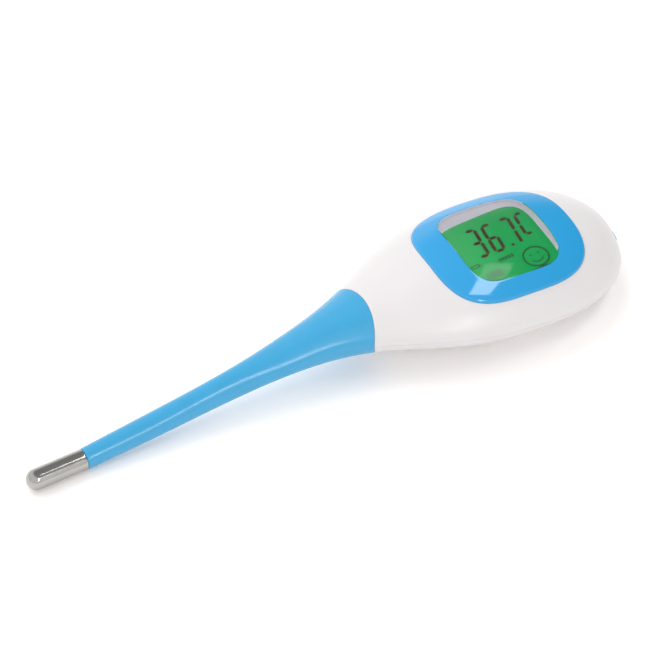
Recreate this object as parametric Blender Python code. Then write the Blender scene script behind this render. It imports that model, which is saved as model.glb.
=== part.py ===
"""Digital thermometer: soft flexible stem, steel probe tip, backlit display and coin-cell battery.

X runs along the thermometer, from the probe tip at -X to the power button at +X. Y is across, Z is up.
It lies on its battery pad and its probe tip, both at Z = 0. Sizes below are in millimetres.
"""
import math

import bpy
import bmesh
import numpy as np
from mathutils import Matrix

MM = 0.001                      # millimetres to metres
GAP = 0.3                       # clearance between neighbouring pieces

# ---- outer shape: stations along X, with half width, half height and height of the widest line ----
STATION_X = (-56.5, -40, -20, -10, 0, 10, 20, 30, 40, 50, 60, 70)
HALF_WIDTH = (2.3, 2.7, 3.2, 4.3, 6.0, 9.6, 14.4, 17.9, 19.3, 19.5, 19.5, 19.5)
HALF_HEIGHT = (2.3, 2.6, 3.2, 3.45, 4.6, 5.7, 7.6, 9.3, 9.55, 8.8, 8.05, 7.4)
CENTRE_Z = (2.3, 4.0, 6.5, 7.85, 9.0, 9.75, 10.0, 9.65, 9.05, 8.25, 7.3, 6.2)
TAIL_X = 70.4                   # where the rounded tail would close
TAIL_WIDTH_START = 45.0         # the tail's plan outline starts to round here
TAIL_WIDTH_POWER = 2.3
TAIL_HEIGHT_START = 50.0
TAIL_HEIGHT_POWER = 2.7
ROUND_STEM_X = -10.0            # sections are round up to here, and those of the head from HEAD_X on
HEAD_X = 25.0
UPPER_POWERS = (2.0, 1.5)      # head section above the widest line: powers across and up
LOWER_POWERS = (2.8, 1.45)      # below it: a broad, flatter belly

# ---- housing ----
WALL = 1.4
NECK_X = 9.75                   # housing and stem meet here on top and below
NECK_SWEEP = 2.25               # and this much nearer the tip at the sides
HOUSING_END_X = 69.2
END_WALL = 1.4
SEAM = 0.3                      # between upper and lower housing
CELL_X = 43.0                   # centre of the battery, its cover and the pad round it
PAD_RADIUS = 13.1
WELL_RADIUS = 11.9
LEDGE_RADIUS = 10.9
LEDGE_TOP = 1.8
WELL_TOP = 4.6
NOTCH_ANGLE = 45.0              # the cover's lugs pass through the ledge here
NOTCH_WIDTH = 5.4
BOARD_POSTS = ((28.0, 8.0, 2.0), (28.0, -8.0, 2.0), (58.5, 8.0, 1.0), (58.5, -8.0, 1.0))
POST_RADIUS = 1.2
NECK_FADE = 12.0                # the sweep of the neck line dies out over this length

# ---- display ----
DISPLAY_X = 42.6                # centre of bezel, window and display
BEZEL = (17.6, 14.9, 3.0)       # half length, half width and corner power of its outline
WINDOW = (11.0, 11.1, 4.0)
OPENING = (16.1, 13.5, 3.0)     # through the upper housing, under the bezel
BEZEL_PROUD = 0.5
BEZEL_SEAT = 0.9                # depth of the seat cut in the upper housing
BEZEL_UNDER = (-0.75, -0.3)     # height of its underside against the dome: at its edge, at the window
LENS_THICKNESS = 1.0
FRAME_DROP = 0.65               # from the dome down to the top of the display frame
FRAME_OUTER = (13.2, 13.2, 4.0)
FRAME_INNER = (11.3, 11.5, 4.0)
FRAME_POCKET = (12.3, 12.3, 4.0)
EAR_X = 8.0                     # ears of the frame, where the board screws go
EAR_Y = 14.4
EAR_RADIUS = 1.6
EAR_HEIGHT = 1.6
EAR_WEB = (2.4, 2.2)            # width, and length inwards to the frame
PILOT_HOLE = (0.85, 1.2)        # radius and depth
LCD_TOP = 13.1
LCD_THICKNESS = 1.8
LCD_HALF = (11.6, 11.6)
LCD_CHAMFER = 4.0
GUIDE_X = (-8.6, 9.2)           # light guide and film against the display's centre
GUIDE_Y = (-8.6, 9.2)
GUIDE_Z = (9.4, 11.0)
FILM_Z = (8.9, 9.1)
LED_X = (-10.6, -8.9)
LED_Y = (-5.0, 0.0, 5.0)
LED_WIDTH = 2.2
LED_TOP = 10.3
ZEBRA_HALF_X = 8.4
ZEBRA_Y = (-10.6, -9.0)

# ---- board and what it carries ----
BOARD_Z = (7.7, 8.7)
BOARD_X = 40.0
BOARD = (20.5, 16.2, 3.0)
BOARD_HOLE = 0.9                # radius
SCREW_SHANK = 0.55
SCREW_HEAD = (1.4, 0.55)        # radius and height
CHIP_X = 26.1
CHIP_PROFILE = ((1.2, 1.2), (2.1, 0.9), (2.6, 0.0))     # radius, and depth under the board
CRYSTAL_X = (22.6, 28.2)
CRYSTAL_Y = -6.0
CRYSTAL_RADIUS = 0.75
CRYSTAL_DROP = 1.2              # from the board down to its axis
CAPACITOR_X = (28.6, 30.8)
CAPACITOR_Y = (3.9, 5.7)
CAPACITOR_SIZE = (1.3, 1.0)     # width and height
RESISTOR_LOW = (22.2, 6.0)
RESISTOR_HIGH = (25.4, 7.6)
RESISTOR_HEIGHT = 0.6
SWITCH_X = (57.6, 61.2)
SWITCH_Z = 6.4
SWITCH_HALF_WIDTH = 2.3
SWITCH_REACH_Z = (1.25, 1.15)   # below and above the plunger's axis
PLUNGER = (0.75, 1.0, 0.9)      # radius, length inside the switch and outside it
PLUNGER_BORE = (0.95, 1.8)      # radius and depth
BUZZER_X = 24.0
BUZZER_Z = 4.6
BUZZER_PLATE = (5.6, 0.2)       # radius and thickness
BUZZER_CERAMIC = (4.2, 0.35, 0.5)   # radius, and the heights of its faces above the plate's underside
BUZZER_SPRINGS = ((-4.9, 0.35), (-1.8, 0.65))   # each against the buzzer: along X, and its foot's height

# ---- battery and cover ----
CELL_RADIUS = 10.0
CELL_Z = (3.2, 6.4)
MINUS_STRIP = (3.0, 0.2)        # width and thickness
PLUS_STRIP = (4.0, 0.25)
COVER_RADIUS = 10.6
COVER_Z = (0.2, 1.5)
COVER_RIM_TOP = 2.9
LUG_RADIUS = 11.6
LUG_Z = (2.1, 2.9)
LUG_HALF_ANGLE = 13.0
COIN_SLOT = (13.0, 2.0, 0.8)    # length, width and depth
SEAL_GROOVE = (0.55, 0.35, 0.95)    # depth, and heights of its two sides above the cover's face
COVER_WALL = 1.2
COVER_SEAL = (0.2, 0.65)        # thickness radius, and height above the cover's face

# ---- button ----
BUTTON = (5.6, 2.3, 3.0)        # half width, half height and corner power of its face
BUTTON_Z = 6.4
BUTTON_FLANGE = 1.0             # how far its flange stands out
BUTTON_FLANGE_X = (66.2, 67.1)
BUTTON_END_X = 70.0
BUTTON_ROUND = ((0.75, 0.0), (0.35, -0.15), (0.1, -0.7), (0.0, -1.5))   # back from its end, and growth
BUTTON_ROD = (1.2, 66.5)        # radius, and where it meets the button
BUTTON_SEAL_X = (67.3, 67.6)
BUTTON_SEAL_GROW = (0.55, 0.15)

# ---- stem ----
REAR_PIVOT_X = -18.0            # the stem bends sideways here
FRONT_PIVOT_X = -36.0           # and up and down here
NOTCH_SLOPE = math.tan(math.radians(16.5))
LUMEN = 0.95
SPIGOT_RADIUS = 1.6
SPIGOT_X = -60.0
CORE_FRONT_X = -13.0
CORE_FLANGE_X = (12.8, 14.2)
CORE_FLANGE = (9.1, 4.3)        # half width and half height
CORE_MOUTH = (7.5, 3.5)         # where it enters the housing
CORE_PLUG = (7.0, 3.4)          # behind its flange
CORE_REAR_X = 17.0
CORE_BORE = ((17.0, (4.5, 2.0)), (8.0, (3.5, 1.6)), (-13.0, (1.0, 1.0)))
STEM_WALL = 1.4
NECK_SEAL_X = 11.4
NECK_SEAL = (8.15, 4.15, 0.35)  # half width, half height and thickness radius
WIRE_RADIUS = 0.2
WIRE_SPREAD = 0.4
WIRE_START = 3.9                # behind the tip's nose
WIRE_END_X = 27.5
WIRE_LEAN_X = 8.0               # the wires leave the stem's middle line here
WIRE_STEPS = 30
WIRE_FLARE = 1.2                # spread added on the way down to the board
WIRE_ABOVE_BOARD = 0.45

# ---- probe tip ----
TIP_X = -70.0
TIP_END_X = -56.8
TIP_RADIUS = 2.25
TIP_WALL = 0.25
FILLER_GAP = 0.3                # between the filler and the cap's wall
FILLER_BORE = 0.95
BEAD_PROFILE = ((0.0, 0.2), (0.15, 0.42), (0.5, 0.6), (0.85, 0.42), (1.0, 0.2))    # along X, radius
BEAD_START = 2.6                # behind the tip's nose


# ---------------------------------------------------------------- outer surface

def natural_spline(knots, values):
    """A smooth curve through the given points, as a function."""
    x = np.array(knots, float)
    v = np.array(values, float)
    step = np.diff(x)
    system = np.eye(len(x))
    right = np.zeros(len(x))
    for i in range(1, len(x) - 1):
        system[i, i - 1:i + 2] = step[i - 1], 2 * (step[i - 1] + step[i]), step[i]
        right[i] = 6 * ((v[i + 1] - v[i]) / step[i] - (v[i] - v[i - 1]) / step[i - 1])
    bend = np.linalg.solve(system, right)

    def curve(at):
        i = min(max(int(np.searchsorted(x, at)) - 1, 0), len(x) - 2)
        after, before, span = at - x[i], x[i + 1] - at, step[i]
        cubic = (bend[i] * before ** 3 + bend[i + 1] * after ** 3) / (6 * span)
        near = (v[i] / span - bend[i] * span / 6) * before
        far = (v[i + 1] / span - bend[i + 1] * span / 6) * after
        return float(cubic + near + far)
    return curve


open_width = natural_spline(STATION_X, HALF_WIDTH)
open_height = natural_spline(STATION_X, HALF_HEIGHT)
centre_z = natural_spline(STATION_X, CENTRE_Z)


def closure(x, start, power):
    """1 before start, then a rounded end that reaches 0 at TAIL_X."""
    along = min(max((x - start) / (TAIL_X - start), 0.0), 1.0)
    return (1 - along ** power) ** (1 / power)


def half_width(x):
    return open_width(x) * closure(x, TAIL_WIDTH_START, TAIL_WIDTH_POWER)


def half_height(x):
    return open_height(x) * closure(x, TAIL_HEIGHT_START, TAIL_HEIGHT_POWER)


def section_powers(x, head):
    along = min(max((x - ROUND_STEM_X) / (HEAD_X - ROUND_STEM_X), 0.0), 1.0)
    share = along * along * (3 - 2 * along)
    return tuple(2.0 + (power - 2.0) * share for power in head)


def signed_power(value, power):
    return math.copysign(abs(value) ** power, value)


def skin(x, angle, inset=0.0, seam=0.0, floor=None):
    """A point of the outer surface, moved in by inset. The seam pushes the half away from the widest line."""
    across, up = section_powers(x, UPPER_POWERS if math.sin(angle) >= 0 else LOWER_POWERS)
    side = 1 if math.sin(angle) >= 0 else -1
    y = (half_width(x) - inset) * signed_power(math.cos(angle), 2 / across)
    rise = (half_height(x) - inset - seam) * abs(math.sin(angle)) ** (2 / up)
    z = centre_z(x) + side * (seam + rise)
    if floor is not None:
        z = max(z, floor)
    return x, y, z


def dome_z(x, y):
    """Height of the upper surface above a point."""
    across, up = section_powers(x, UPPER_POWERS)
    inside = max(1 - abs(y / half_width(x)) ** across, 0.0)
    return centre_z(x) + half_height(x) * inside ** (1 / up)


def neck_x(angle):
    return NECK_X - NECK_SWEEP * math.cos(angle) ** 2


def outline(size, steps, centre=(DISPLAY_X, 0.0), grow=0.0):
    """Points round a rounded square: half length, half width and corner power."""
    half_x, half_y, power = size
    points = []
    for k in range(steps):
        angle = 2 * math.pi * k / steps
        x = (half_x + grow) * signed_power(math.cos(angle), 2 / power)
        y = (half_y + grow) * signed_power(math.sin(angle), 2 / power)
        points.append((centre[0] + x, centre[1] + y))
    return points


# ---------------------------------------------------------------- mesh helpers

def material(name, colour, roughness=0.5, metallic=0.0, transmission=0.0):
    made = bpy.data.materials.get(name)
    if made:
        return made
    made = bpy.data.materials.new(name)
    made.use_nodes = True
    shader = made.node_tree.nodes["Principled BSDF"]
    shader.inputs["Base Color"].default_value = (*colour, 1.0)
    shader.inputs["Roughness"].default_value = roughness
    shader.inputs["Metallic"].default_value = metallic
    shader.inputs["Transmission Weight"].default_value = transmission
    made.diffuse_color = (*colour, 1.0)
    return made


def add_object(name, mesh, look=None):
    made = bpy.data.objects.new(name, mesh)
    bpy.context.scene.collection.objects.link(made)
    if look:
        mesh.materials.append(look)
    return made


def mesh_from(name, points, faces):
    """A mesh from millimetre points, with its faces turned outwards and round stretches shaded smooth."""
    mesh = bpy.data.meshes.new(name)
    mesh.from_pydata([(x * MM, y * MM, z * MM) for x, y, z in points], [], faces)
    shape = bmesh.new()
    shape.from_mesh(mesh)
    bmesh.ops.recalc_face_normals(shape, faces=shape.faces)
    shape.to_mesh(mesh)
    shape.free()
    mesh.shade_smooth()
    mesh.set_sharp_from_angle(angle=math.radians(35))
    return mesh


def ring_faces(rings, steps, closed):
    """Quads between neighbouring rings. closed joins the last ring to the first."""
    faces = []
    for r in range(rings if closed else rings - 1):
        here, there = r * steps, (r + 1) % rings * steps
        for k in range(steps):
            nxt = (k + 1) % steps
            faces.append((here + k, here + nxt, there + nxt, there + k))
    return faces


def tube(name, rings, look):
    """A ring-shaped solid: the rings go out along the outside and back along the bore."""
    points = [point for ring in rings for point in ring]
    faces = ring_faces(len(rings), len(rings[0]), closed=True)
    return add_object(name, mesh_from(name, points, faces), look)


def capped(name, rings, look):
    """A solid whose first and last rings are closed by flat faces."""
    steps = len(rings[0])
    points = [point for ring in rings for point in ring]
    faces = ring_faces(len(rings), steps, closed=False)
    faces.append(tuple(range(steps)))
    faces.append(tuple(range((len(rings) - 1) * steps, len(rings) * steps)))
    return add_object(name, mesh_from(name, points, faces), look)


def circle(centre, radius, steps, axis="Z"):
    """Points round a circle about a vertical axis, or about one along X."""
    x, y, z = centre
    points = []
    for k in range(steps):
        a = radius * math.cos(2 * math.pi * k / steps)
        b = radius * math.sin(2 * math.pi * k / steps)
        points.append((x + a, y + b, z) if axis == "Z" else (x, y + a, z + b))
    return points


def disc(name, centre_xy, profile, look, steps=32):
    """A turned solid about a vertical axis, from (radius, z) pairs."""
    rings = [circle((*centre_xy, z), radius, steps) for radius, z in profile]
    return capped(name, rings, look)


def rod(name, centre_yz, profile, look, steps=16):
    """A turned solid about an axis along X, from (x, radius) pairs."""
    rings = [circle((x, *centre_yz), radius, steps, "X") for x, radius in profile]
    return capped(name, rings, look)


def box(name, low, high, look=None):
    xs, ys, zs = zip(low, high)
    rings = [[(xs[0], ys[0], z), (xs[1], ys[0], z), (xs[1], ys[1], z), (xs[0], ys[1], z)] for z in zs]
    return capped(name, rings, look)


def prism(name, points, z_low, z_high, look=None):
    return capped(name, [[(x, y, z) for x, y in points] for z in (z_low, z_high)], look)


def combine(target, tool, operation):
    """Joins tool to target, or cuts it away, and leaves tool as a hidden helper."""
    step = target.modifiers.new(tool.name, "BOOLEAN")
    step.operation = operation
    step.object = tool
    step.solver = "EXACT"
    tool.hide_render = True
    tool.display_type = "WIRE"


def cut(target, tool):
    combine(target, tool, "DIFFERENCE")


def join(target, tool):
    combine(target, tool, "UNION")


WHITE = material("white_abs", (0.82, 0.80, 0.81), 0.35)
BLUE = material("blue_bezel", (0.03, 0.34, 0.68), 0.15)
SKY = material("blue_tpe", (0.13, 0.46, 0.72), 0.35)
CLEAR = material("clear_acrylic", (0.9, 0.95, 0.95), 0.05, transmission=1.0)
GREY = material("grey_plastic", (0.45, 0.5, 0.52), 0.5)
GREEN = material("lcd_green", (0.02, 0.35, 0.11), 0.3)
FILM = material("white_film", (0.85, 0.85, 0.85), 0.4)
RUBBER = material("black_rubber", (0.03, 0.03, 0.03), 0.7)
SILICONE = material("silicone", (0.6, 0.6, 0.62), 0.6)
BOARD_GREEN = material("board_green", (0.02, 0.22, 0.08), 0.4)
EPOXY = material("black_epoxy", (0.02, 0.02, 0.02), 0.25)
CERAMIC = material("white_ceramic", (0.8, 0.78, 0.7), 0.5)
BRASS = material("brass", (0.75, 0.55, 0.2), 0.3, 1.0)
STEEL = material("stainless_steel", (0.55, 0.54, 0.51), 0.25, 1.0)
NICKEL = material("nickel", (0.65, 0.64, 0.6), 0.3, 1.0)
TAN = material("capacitor_tan", (0.5, 0.35, 0.18), 0.5)
RED = material("red_insulation", (0.6, 0.03, 0.02), 0.45)
BLACK = material("black_insulation", (0.02, 0.02, 0.02), 0.45)


# ---------------------------------------------------------------- housing

HALF_STEPS = 16                 # facets round half a section
HOUSING_STATIONS = (0, 3, 7, 12, 17, 22, 28, 34, 40, 45, 49.5, 53, 56, 58.3, 59.45)


def housing_half(name, upper):
    """One half shell: out along the outside, through the button opening and back along the inside."""
    turn = math.pi if upper else -math.pi
    angles = [turn * k / HALF_STEPS for k in range(HALF_STEPS + 1)]
    seam = SEAM / 2
    outer, inner = [], []
    for station in HOUSING_STATIONS:
        share = station / HOUSING_STATIONS[-1]
        outer_ring, inner_ring = [], []
        for angle in angles:
            start = neck_x(angle)
            fade = max(1 - station / NECK_FADE, 0.0)
            x = NECK_X + station - (NECK_X - start) * fade
            back = END_WALL * max(share - 0.7, 0.0) / 0.3
            outer_ring.append(skin(x, angle, 0.0, seam, floor=0.0))
            inner_ring.append(skin(x - back, angle, WALL, seam, floor=WALL))
        outer.append(outer_ring)
        inner.append(inner_ring)
    mouth = []
    for x in (HOUSING_END_X, HOUSING_END_X - END_WALL):
        ring = []
        for angle in angles:
            y = (BUTTON[0] + GAP) * signed_power(math.cos(angle), 2 / BUTTON[2])
            rise = (BUTTON[1] + GAP) * abs(math.sin(angle)) ** (2 / BUTTON[2])
            side = 1 if upper else -1
            z = centre_z(x) + side * max(rise, seam)
            ring.append((x, y, z))
        mouth.append(ring)
    rings = outer + mouth + inner[::-1]
    count, steps = len(rings), HALF_STEPS + 1
    faces = []
    for r in range(count):
        here, there = r * steps, (r + 1) % count * steps
        for k in range(HALF_STEPS):
            faces.append((here + k, here + k + 1, there + k + 1, there + k))
    last = len(outer) - 1
    for k in (0, HALF_STEPS):
        for r in range(last):
            back, back_next = count - 1 - r, count - 2 - r
            faces.append(tuple(i * steps + k for i in (r, r + 1, back_next, back)))
        faces.append(tuple(i * steps + k for i in (last, last + 1, last + 2, last + 3)))
    points = [point for ring in rings for point in ring]
    return add_object(name, mesh_from(name, points, faces), WHITE)


def dome_plate(name, outer, inner, top, bottom, look, steps=40, rows=3):
    """A plate that follows the dome: outside outline, window outline or None, offsets of its two faces."""
    def row(share, offset):
        ring = []
        hub = inner or [(DISPLAY_X, 0.0)] * steps
        for (x1, y1), (x2, y2) in zip(outer, hub):
            x, y = x1 + (x2 - x1) * share, y1 + (y2 - y1) * share
            ring.append((x, y, dome_z(x, y) + offset))
        return ring
    shares = [r / rows for r in range(rows + 1)]
    if inner:
        rings = [row(share, top) for share in shares] + [row(share, bottom(share)) for share in shares[::-1]]
        return tube(name, rings, look)
    shares[-1] = 0.93
    rings = [row(share, bottom(share)) for share in shares[::-1]] + [row(share, top) for share in shares]
    return capped(name, rings, look)


def upper_housing():
    shell = housing_half("upper_housing", upper=True)
    seat = outline(BEZEL, 40)
    cut(shell, dome_plate("bezel_seat_cutter", seat, None, 5.0, lambda share: -BEZEL_SEAT, None))
    cut(shell, prism("display_opening_cutter", outline(OPENING, 40), 9.9, 24.0))


def lower_housing():
    shell = housing_half("lower_housing", upper=False)
    join(shell, disc("battery_pad", (CELL_X, 0), ((PAD_RADIUS, 0.0), (PAD_RADIUS, WELL_TOP)), None, 36))
    for number, (x, y, foot) in enumerate(BOARD_POSTS, 1):
        profile = ((POST_RADIUS, foot), (POST_RADIUS, BOARD_Z[0] - GAP))
        join(shell, disc(f"post_{number}", (x, y), profile, None, 12))
    bore = ((LEDGE_RADIUS, -1.0), (LEDGE_RADIUS, LEDGE_TOP),
            (WELL_RADIUS, LEDGE_TOP), (WELL_RADIUS, WELL_TOP + 1))
    cut(shell, disc("battery_bore_cutter", (CELL_X, 0), bore, None, 36))
    reach = WELL_RADIUS - 0.1
    notch = box("notch_cutter", (-reach, -NOTCH_WIDTH / 2, -1.0), (reach, NOTCH_WIDTH / 2, LEDGE_TOP + 0.1))
    notch.location = (CELL_X * MM, 0, 0)
    notch.rotation_euler = (0, 0, math.radians(-NOTCH_ANGLE))
    cut(shell, notch)


# ---------------------------------------------------------------- display

def display_bezel():
    outer = outline(BEZEL, 40, grow=-0.15)
    inner = outline(WINDOW, 40)
    at_edge, at_window = BEZEL_UNDER

    def bottom(share):
        return at_window if share else at_edge
    dome_plate("display_bezel", outer, inner, BEZEL_PROUD, bottom, BLUE)


def display_lens():
    outer = outline(WINDOW, 40, grow=-0.15)
    dome_plate("display_lens", outer, None, BEZEL_PROUD, lambda share: BEZEL_PROUD - LENS_THICKNESS, CLEAR)


def lcd_frame():
    """The frame round the display: a skirt to the board, a lip over the glass and walls up to the window."""
    steps = 40
    low, step_z = BOARD_Z[1] + GAP, LCD_TOP + GAP / 2

    def level(size, z):
        return [(x, y, z) for x, y in outline(size, steps)]

    def under_dome(size):
        return [(x, y, dome_z(x, y) - FRAME_DROP) for x, y in outline(size, steps)]
    rings = [level(FRAME_OUTER, low), under_dome(FRAME_OUTER), under_dome(FRAME_INNER),
             level(FRAME_INNER, step_z), level(FRAME_POCKET, step_z), level(FRAME_POCKET, low)]
    frame = tube("lcd_frame", rings, GREY)
    half_web, reach = EAR_WEB[0] / 2, EAR_WEB[1]
    pilot, depth = PILOT_HOLE
    top = low + EAR_HEIGHT
    for number, (x, y) in enumerate(ear_places(), 1):
        across = sorted((y, y - math.copysign(reach, y)))
        join(frame, box(f"ear_web_{number}", (x - half_web, across[0], low), (x + half_web, across[1], top)))
        join(frame, disc(f"ear_{number}", (x, y), ((EAR_RADIUS, low), (EAR_RADIUS, top)), None, 16))
        cut(frame, disc(f"pilot_cutter_{number}", (x, y), ((pilot, low - 1), (pilot, low + depth)), None, 12))


def ear_places():
    return [(DISPLAY_X + side_x * EAR_X, side_y * EAR_Y) for side_x in (-1, 1) for side_y in (-1, 1)]


def chamfered(half_x, half_y, chamfer):
    corners = []
    for sx, sy in ((1, 1), (-1, 1), (-1, -1), (1, -1)):
        pair = [(sx * half_x, sy * (half_y - chamfer)), (sx * (half_x - chamfer), sy * half_y)]
        corners += pair if sx * sy > 0 else pair[::-1]
    return [(DISPLAY_X + x, y) for x, y in corners]


def lcd_glass():
    prism("lcd_glass", chamfered(*LCD_HALF, LCD_CHAMFER), LCD_TOP - LCD_THICKNESS, LCD_TOP, GREEN)


def under_display(name, z_low, z_high):
    """A flat plate under the display cell."""
    low = (DISPLAY_X + GUIDE_X[0], GUIDE_Y[0], z_low)
    box(name, low, (DISPLAY_X + GUIDE_X[1], GUIDE_Y[1], z_high), FILM)


def light_guide():
    under_display("light_guide", *GUIDE_Z)


def reflector_film():
    under_display("reflector_film", *FILM_Z)


def backlight_leds():
    half = LED_WIDTH / 2
    for number, y in enumerate(LED_Y, 1):
        low = (DISPLAY_X + LED_X[0], y - half, BOARD_Z[1] + GAP / 2)
        box(f"backlight_led_{number}", low, (DISPLAY_X + LED_X[1], y + half, LED_TOP), FILM)


def zebra_strip():
    low = (DISPLAY_X - ZEBRA_HALF_X, ZEBRA_Y[0], BOARD_Z[1] + GAP)
    high = (DISPLAY_X + ZEBRA_HALF_X, ZEBRA_Y[1], LCD_TOP - LCD_THICKNESS - GAP)
    box("zebra_strip", low, high, RUBBER)


# ---------------------------------------------------------------- board and parts on it

def main_board():
    board = prism("main_board", outline(BOARD, 28, (BOARD_X, 0)), *BOARD_Z, BOARD_GREEN)
    for number, (x, y) in enumerate(ear_places(), 1):
        hole = ((BOARD_HOLE, BOARD_Z[0] - 1), (BOARD_HOLE, BOARD_Z[1] + 1))
        cut(board, disc(f"board_hole_cutter_{number}", (x, y), hole, None, 12))


UNDER_BOARD = BOARD_Z[0] - GAP / 2


def board_screws():
    radius, height = SCREW_HEAD
    under = UNDER_BOARD
    for number, place in enumerate(ear_places(), 1):
        profile = ((radius * 0.7, under - height), (radius, under - height * 0.5), (radius, under),
                   (SCREW_SHANK, under), (SCREW_SHANK, BOARD_Z[1] + PILOT_HOLE[1]))
        disc(f"board_screw_{number}", place, profile, STEEL, 12)


def chip_blob():
    profile = [(radius, UNDER_BOARD - depth) for radius, depth in CHIP_PROFILE]
    disc("chip_blob", (CHIP_X, 0), profile, EPOXY, 14)


def crystal_can():
    profile = [(x, CRYSTAL_RADIUS) for x in CRYSTAL_X]
    rod("crystal_can", (CRYSTAL_Y, BOARD_Z[0] - CRYSTAL_DROP), profile, NICKEL, 12)


def small_parts():
    width, height = CAPACITOR_SIZE
    for number, y in enumerate(CAPACITOR_Y, 1):
        low = (CAPACITOR_X[0], y - width / 2, UNDER_BOARD - height)
        box(f"capacitor_{number}", low, (CAPACITOR_X[1], y + width / 2, UNDER_BOARD), TAN)
    low = (*RESISTOR_LOW, UNDER_BOARD - RESISTOR_HEIGHT)
    box("reference_resistor", low, (*RESISTOR_HIGH, UNDER_BOARD), BLACK)


def tact_switch():
    front, end = SWITCH_X
    low = (front, -SWITCH_HALF_WIDTH, SWITCH_Z - SWITCH_REACH_Z[0])
    body = box("tact_switch_body", low, (end, SWITCH_HALF_WIDTH, SWITCH_Z + SWITCH_REACH_Z[1]), BLACK)
    bore, depth = PLUNGER_BORE
    cut(body, rod("plunger_bore_cutter", (0, SWITCH_Z), ((end - depth, bore), (end + 1, bore)), None))
    radius, inside, outside = PLUNGER
    rod("switch_plunger", (0, SWITCH_Z), ((end - inside, radius), (end + outside, radius)), FILM)


def buzzer():
    radius, thickness = BUZZER_PLATE
    disc("buzzer_plate", (BUZZER_X, 0), ((radius, BUZZER_Z), (radius, BUZZER_Z + thickness)), BRASS, 20)
    radius, low, high = BUZZER_CERAMIC
    disc("buzzer_ceramic", (BUZZER_X, 0), ((radius, BUZZER_Z + low), (radius, BUZZER_Z + high)), CERAMIC, 18)
    for number, (along, foot) in enumerate(BUZZER_SPRINGS, 1):
        coil_spring(f"buzzer_spring_{number}", (BUZZER_X + along, 0), BUZZER_Z + foot, BOARD_Z[0] - GAP)


def sweep(name, path, radius, look, sides=5):
    """A round bar along a path of points, closed at both ends."""
    path = [np.array(point, float) for point in path]
    side = np.array((0.0, 1.0, 0.0))
    rings = []
    for i, point in enumerate(path):
        ahead = path[min(i + 1, len(path) - 1)] - path[max(i - 1, 0)]
        ahead /= np.linalg.norm(ahead)
        side = side - ahead * side.dot(ahead)
        side /= np.linalg.norm(side)
        other = np.cross(ahead, side)
        turns = [2 * math.pi * k / sides for k in range(sides)]
        rings.append([tuple(point + radius * (math.cos(t) * side + math.sin(t) * other)) for t in turns])
    return capped(name, rings, look)


def coil_spring(name, centre, low, high, radius=0.55, wire=0.13, turns=3, steps=9):
    path = []
    for k in range(turns * steps + 1):
        angle = 2 * math.pi * k / steps
        z = low + wire + (high - low - 2 * wire) * k / (turns * steps)
        path.append((centre[0] + radius * math.cos(angle), centre[1] + radius * math.sin(angle), z))
    return sweep(name, path, wire, STEEL, sides=5)


# ---------------------------------------------------------------- battery

def coin_cell():
    low, high = CELL_Z
    profile = ((CELL_RADIUS - 0.4, low), (CELL_RADIUS, low + 0.4), (CELL_RADIUS, high - 0.7),
               (CELL_RADIUS - 0.6, high - 0.35), (CELL_RADIUS - 1.4, high - 0.3), (CELL_RADIUS - 1.5, high))
    disc("coin_cell", (CELL_X, 0), profile, NICKEL, 32)


def strip(name, profile, thickness, y_low, y_high, look):
    """A bent metal strip: its path in X and Z, its thickness and its edges across Y."""
    path = [np.array(point, float) for point in profile]
    first, second = [], []
    for i, point in enumerate(path):
        ahead = path[min(i + 1, len(path) - 1)] - path[max(i - 1, 0)]
        ahead /= np.linalg.norm(ahead)
        normal = np.array((-ahead[1], ahead[0])) * thickness / 2
        first.append(tuple(point + normal))
        second.append(tuple(point - normal))
    loop = first + second[::-1]
    return capped(name, [[(x, y, z) for x, z in loop] for y in (y_low, y_high)], look)


def battery_contacts():
    top = UNDER_BOARD - 0.1
    touch = CELL_Z[1] + 0.35
    bent = ((CELL_X - 8, top), (CELL_X - 5, top), (CELL_X - 1, touch), (CELL_X + 1, touch),
            (CELL_X + 3, touch + 0.35))
    width, thickness = MINUS_STRIP
    strip("battery_contact_minus", bent, thickness, -width / 2, width / 2, NICKEL)
    side_x = CELL_X + CELL_RADIUS + 0.6
    upright = ((side_x + 2.6, top), (side_x + 0.5, top), (side_x, top - 0.6), (side_x, CELL_Z[0] + 0.8))
    width, thickness = PLUS_STRIP
    strip("battery_contact_plus", upright, thickness, -width / 2, width / 2, NICKEL)


def battery_cover():
    low, high = COVER_Z
    edge = COVER_RADIUS
    deep, near, far = edge - SEAL_GROOVE[0], low + SEAL_GROOVE[1], low + SEAL_GROOVE[2]
    inside = edge - COVER_WALL
    profile = ((edge - 0.25, low), (edge, low + 0.2), (edge, near), (deep, near), (deep, far), (edge, far),
               (edge, COVER_RIM_TOP), (inside, COVER_RIM_TOP), (inside, high))
    cover = disc("battery_cover", (CELL_X, 0), profile, WHITE, 36)
    for number, turn in enumerate((0.0, math.pi), 1):
        join(cover, cover_lug(number, turn))
    length, width, depth = COIN_SLOT
    corner = (CELL_X + length / 2, width / 2, low + depth)
    cut(cover, box("coin_slot_cutter", (CELL_X - length / 2, -width / 2, -1.0), corner))


def cover_lug(number, turn):
    half = math.radians(LUG_HALF_ANGLE)
    angles = [turn - half + 2 * half * k / 4 for k in range(5)]
    arc = [(LUG_RADIUS, a) for a in angles] + [(COVER_RADIUS - 0.6, a) for a in angles[::-1]]
    points = [(CELL_X + r * math.cos(a), r * math.sin(a)) for r, a in arc]
    return prism(f"cover_lug_{number}", points, *LUG_Z)


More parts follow.
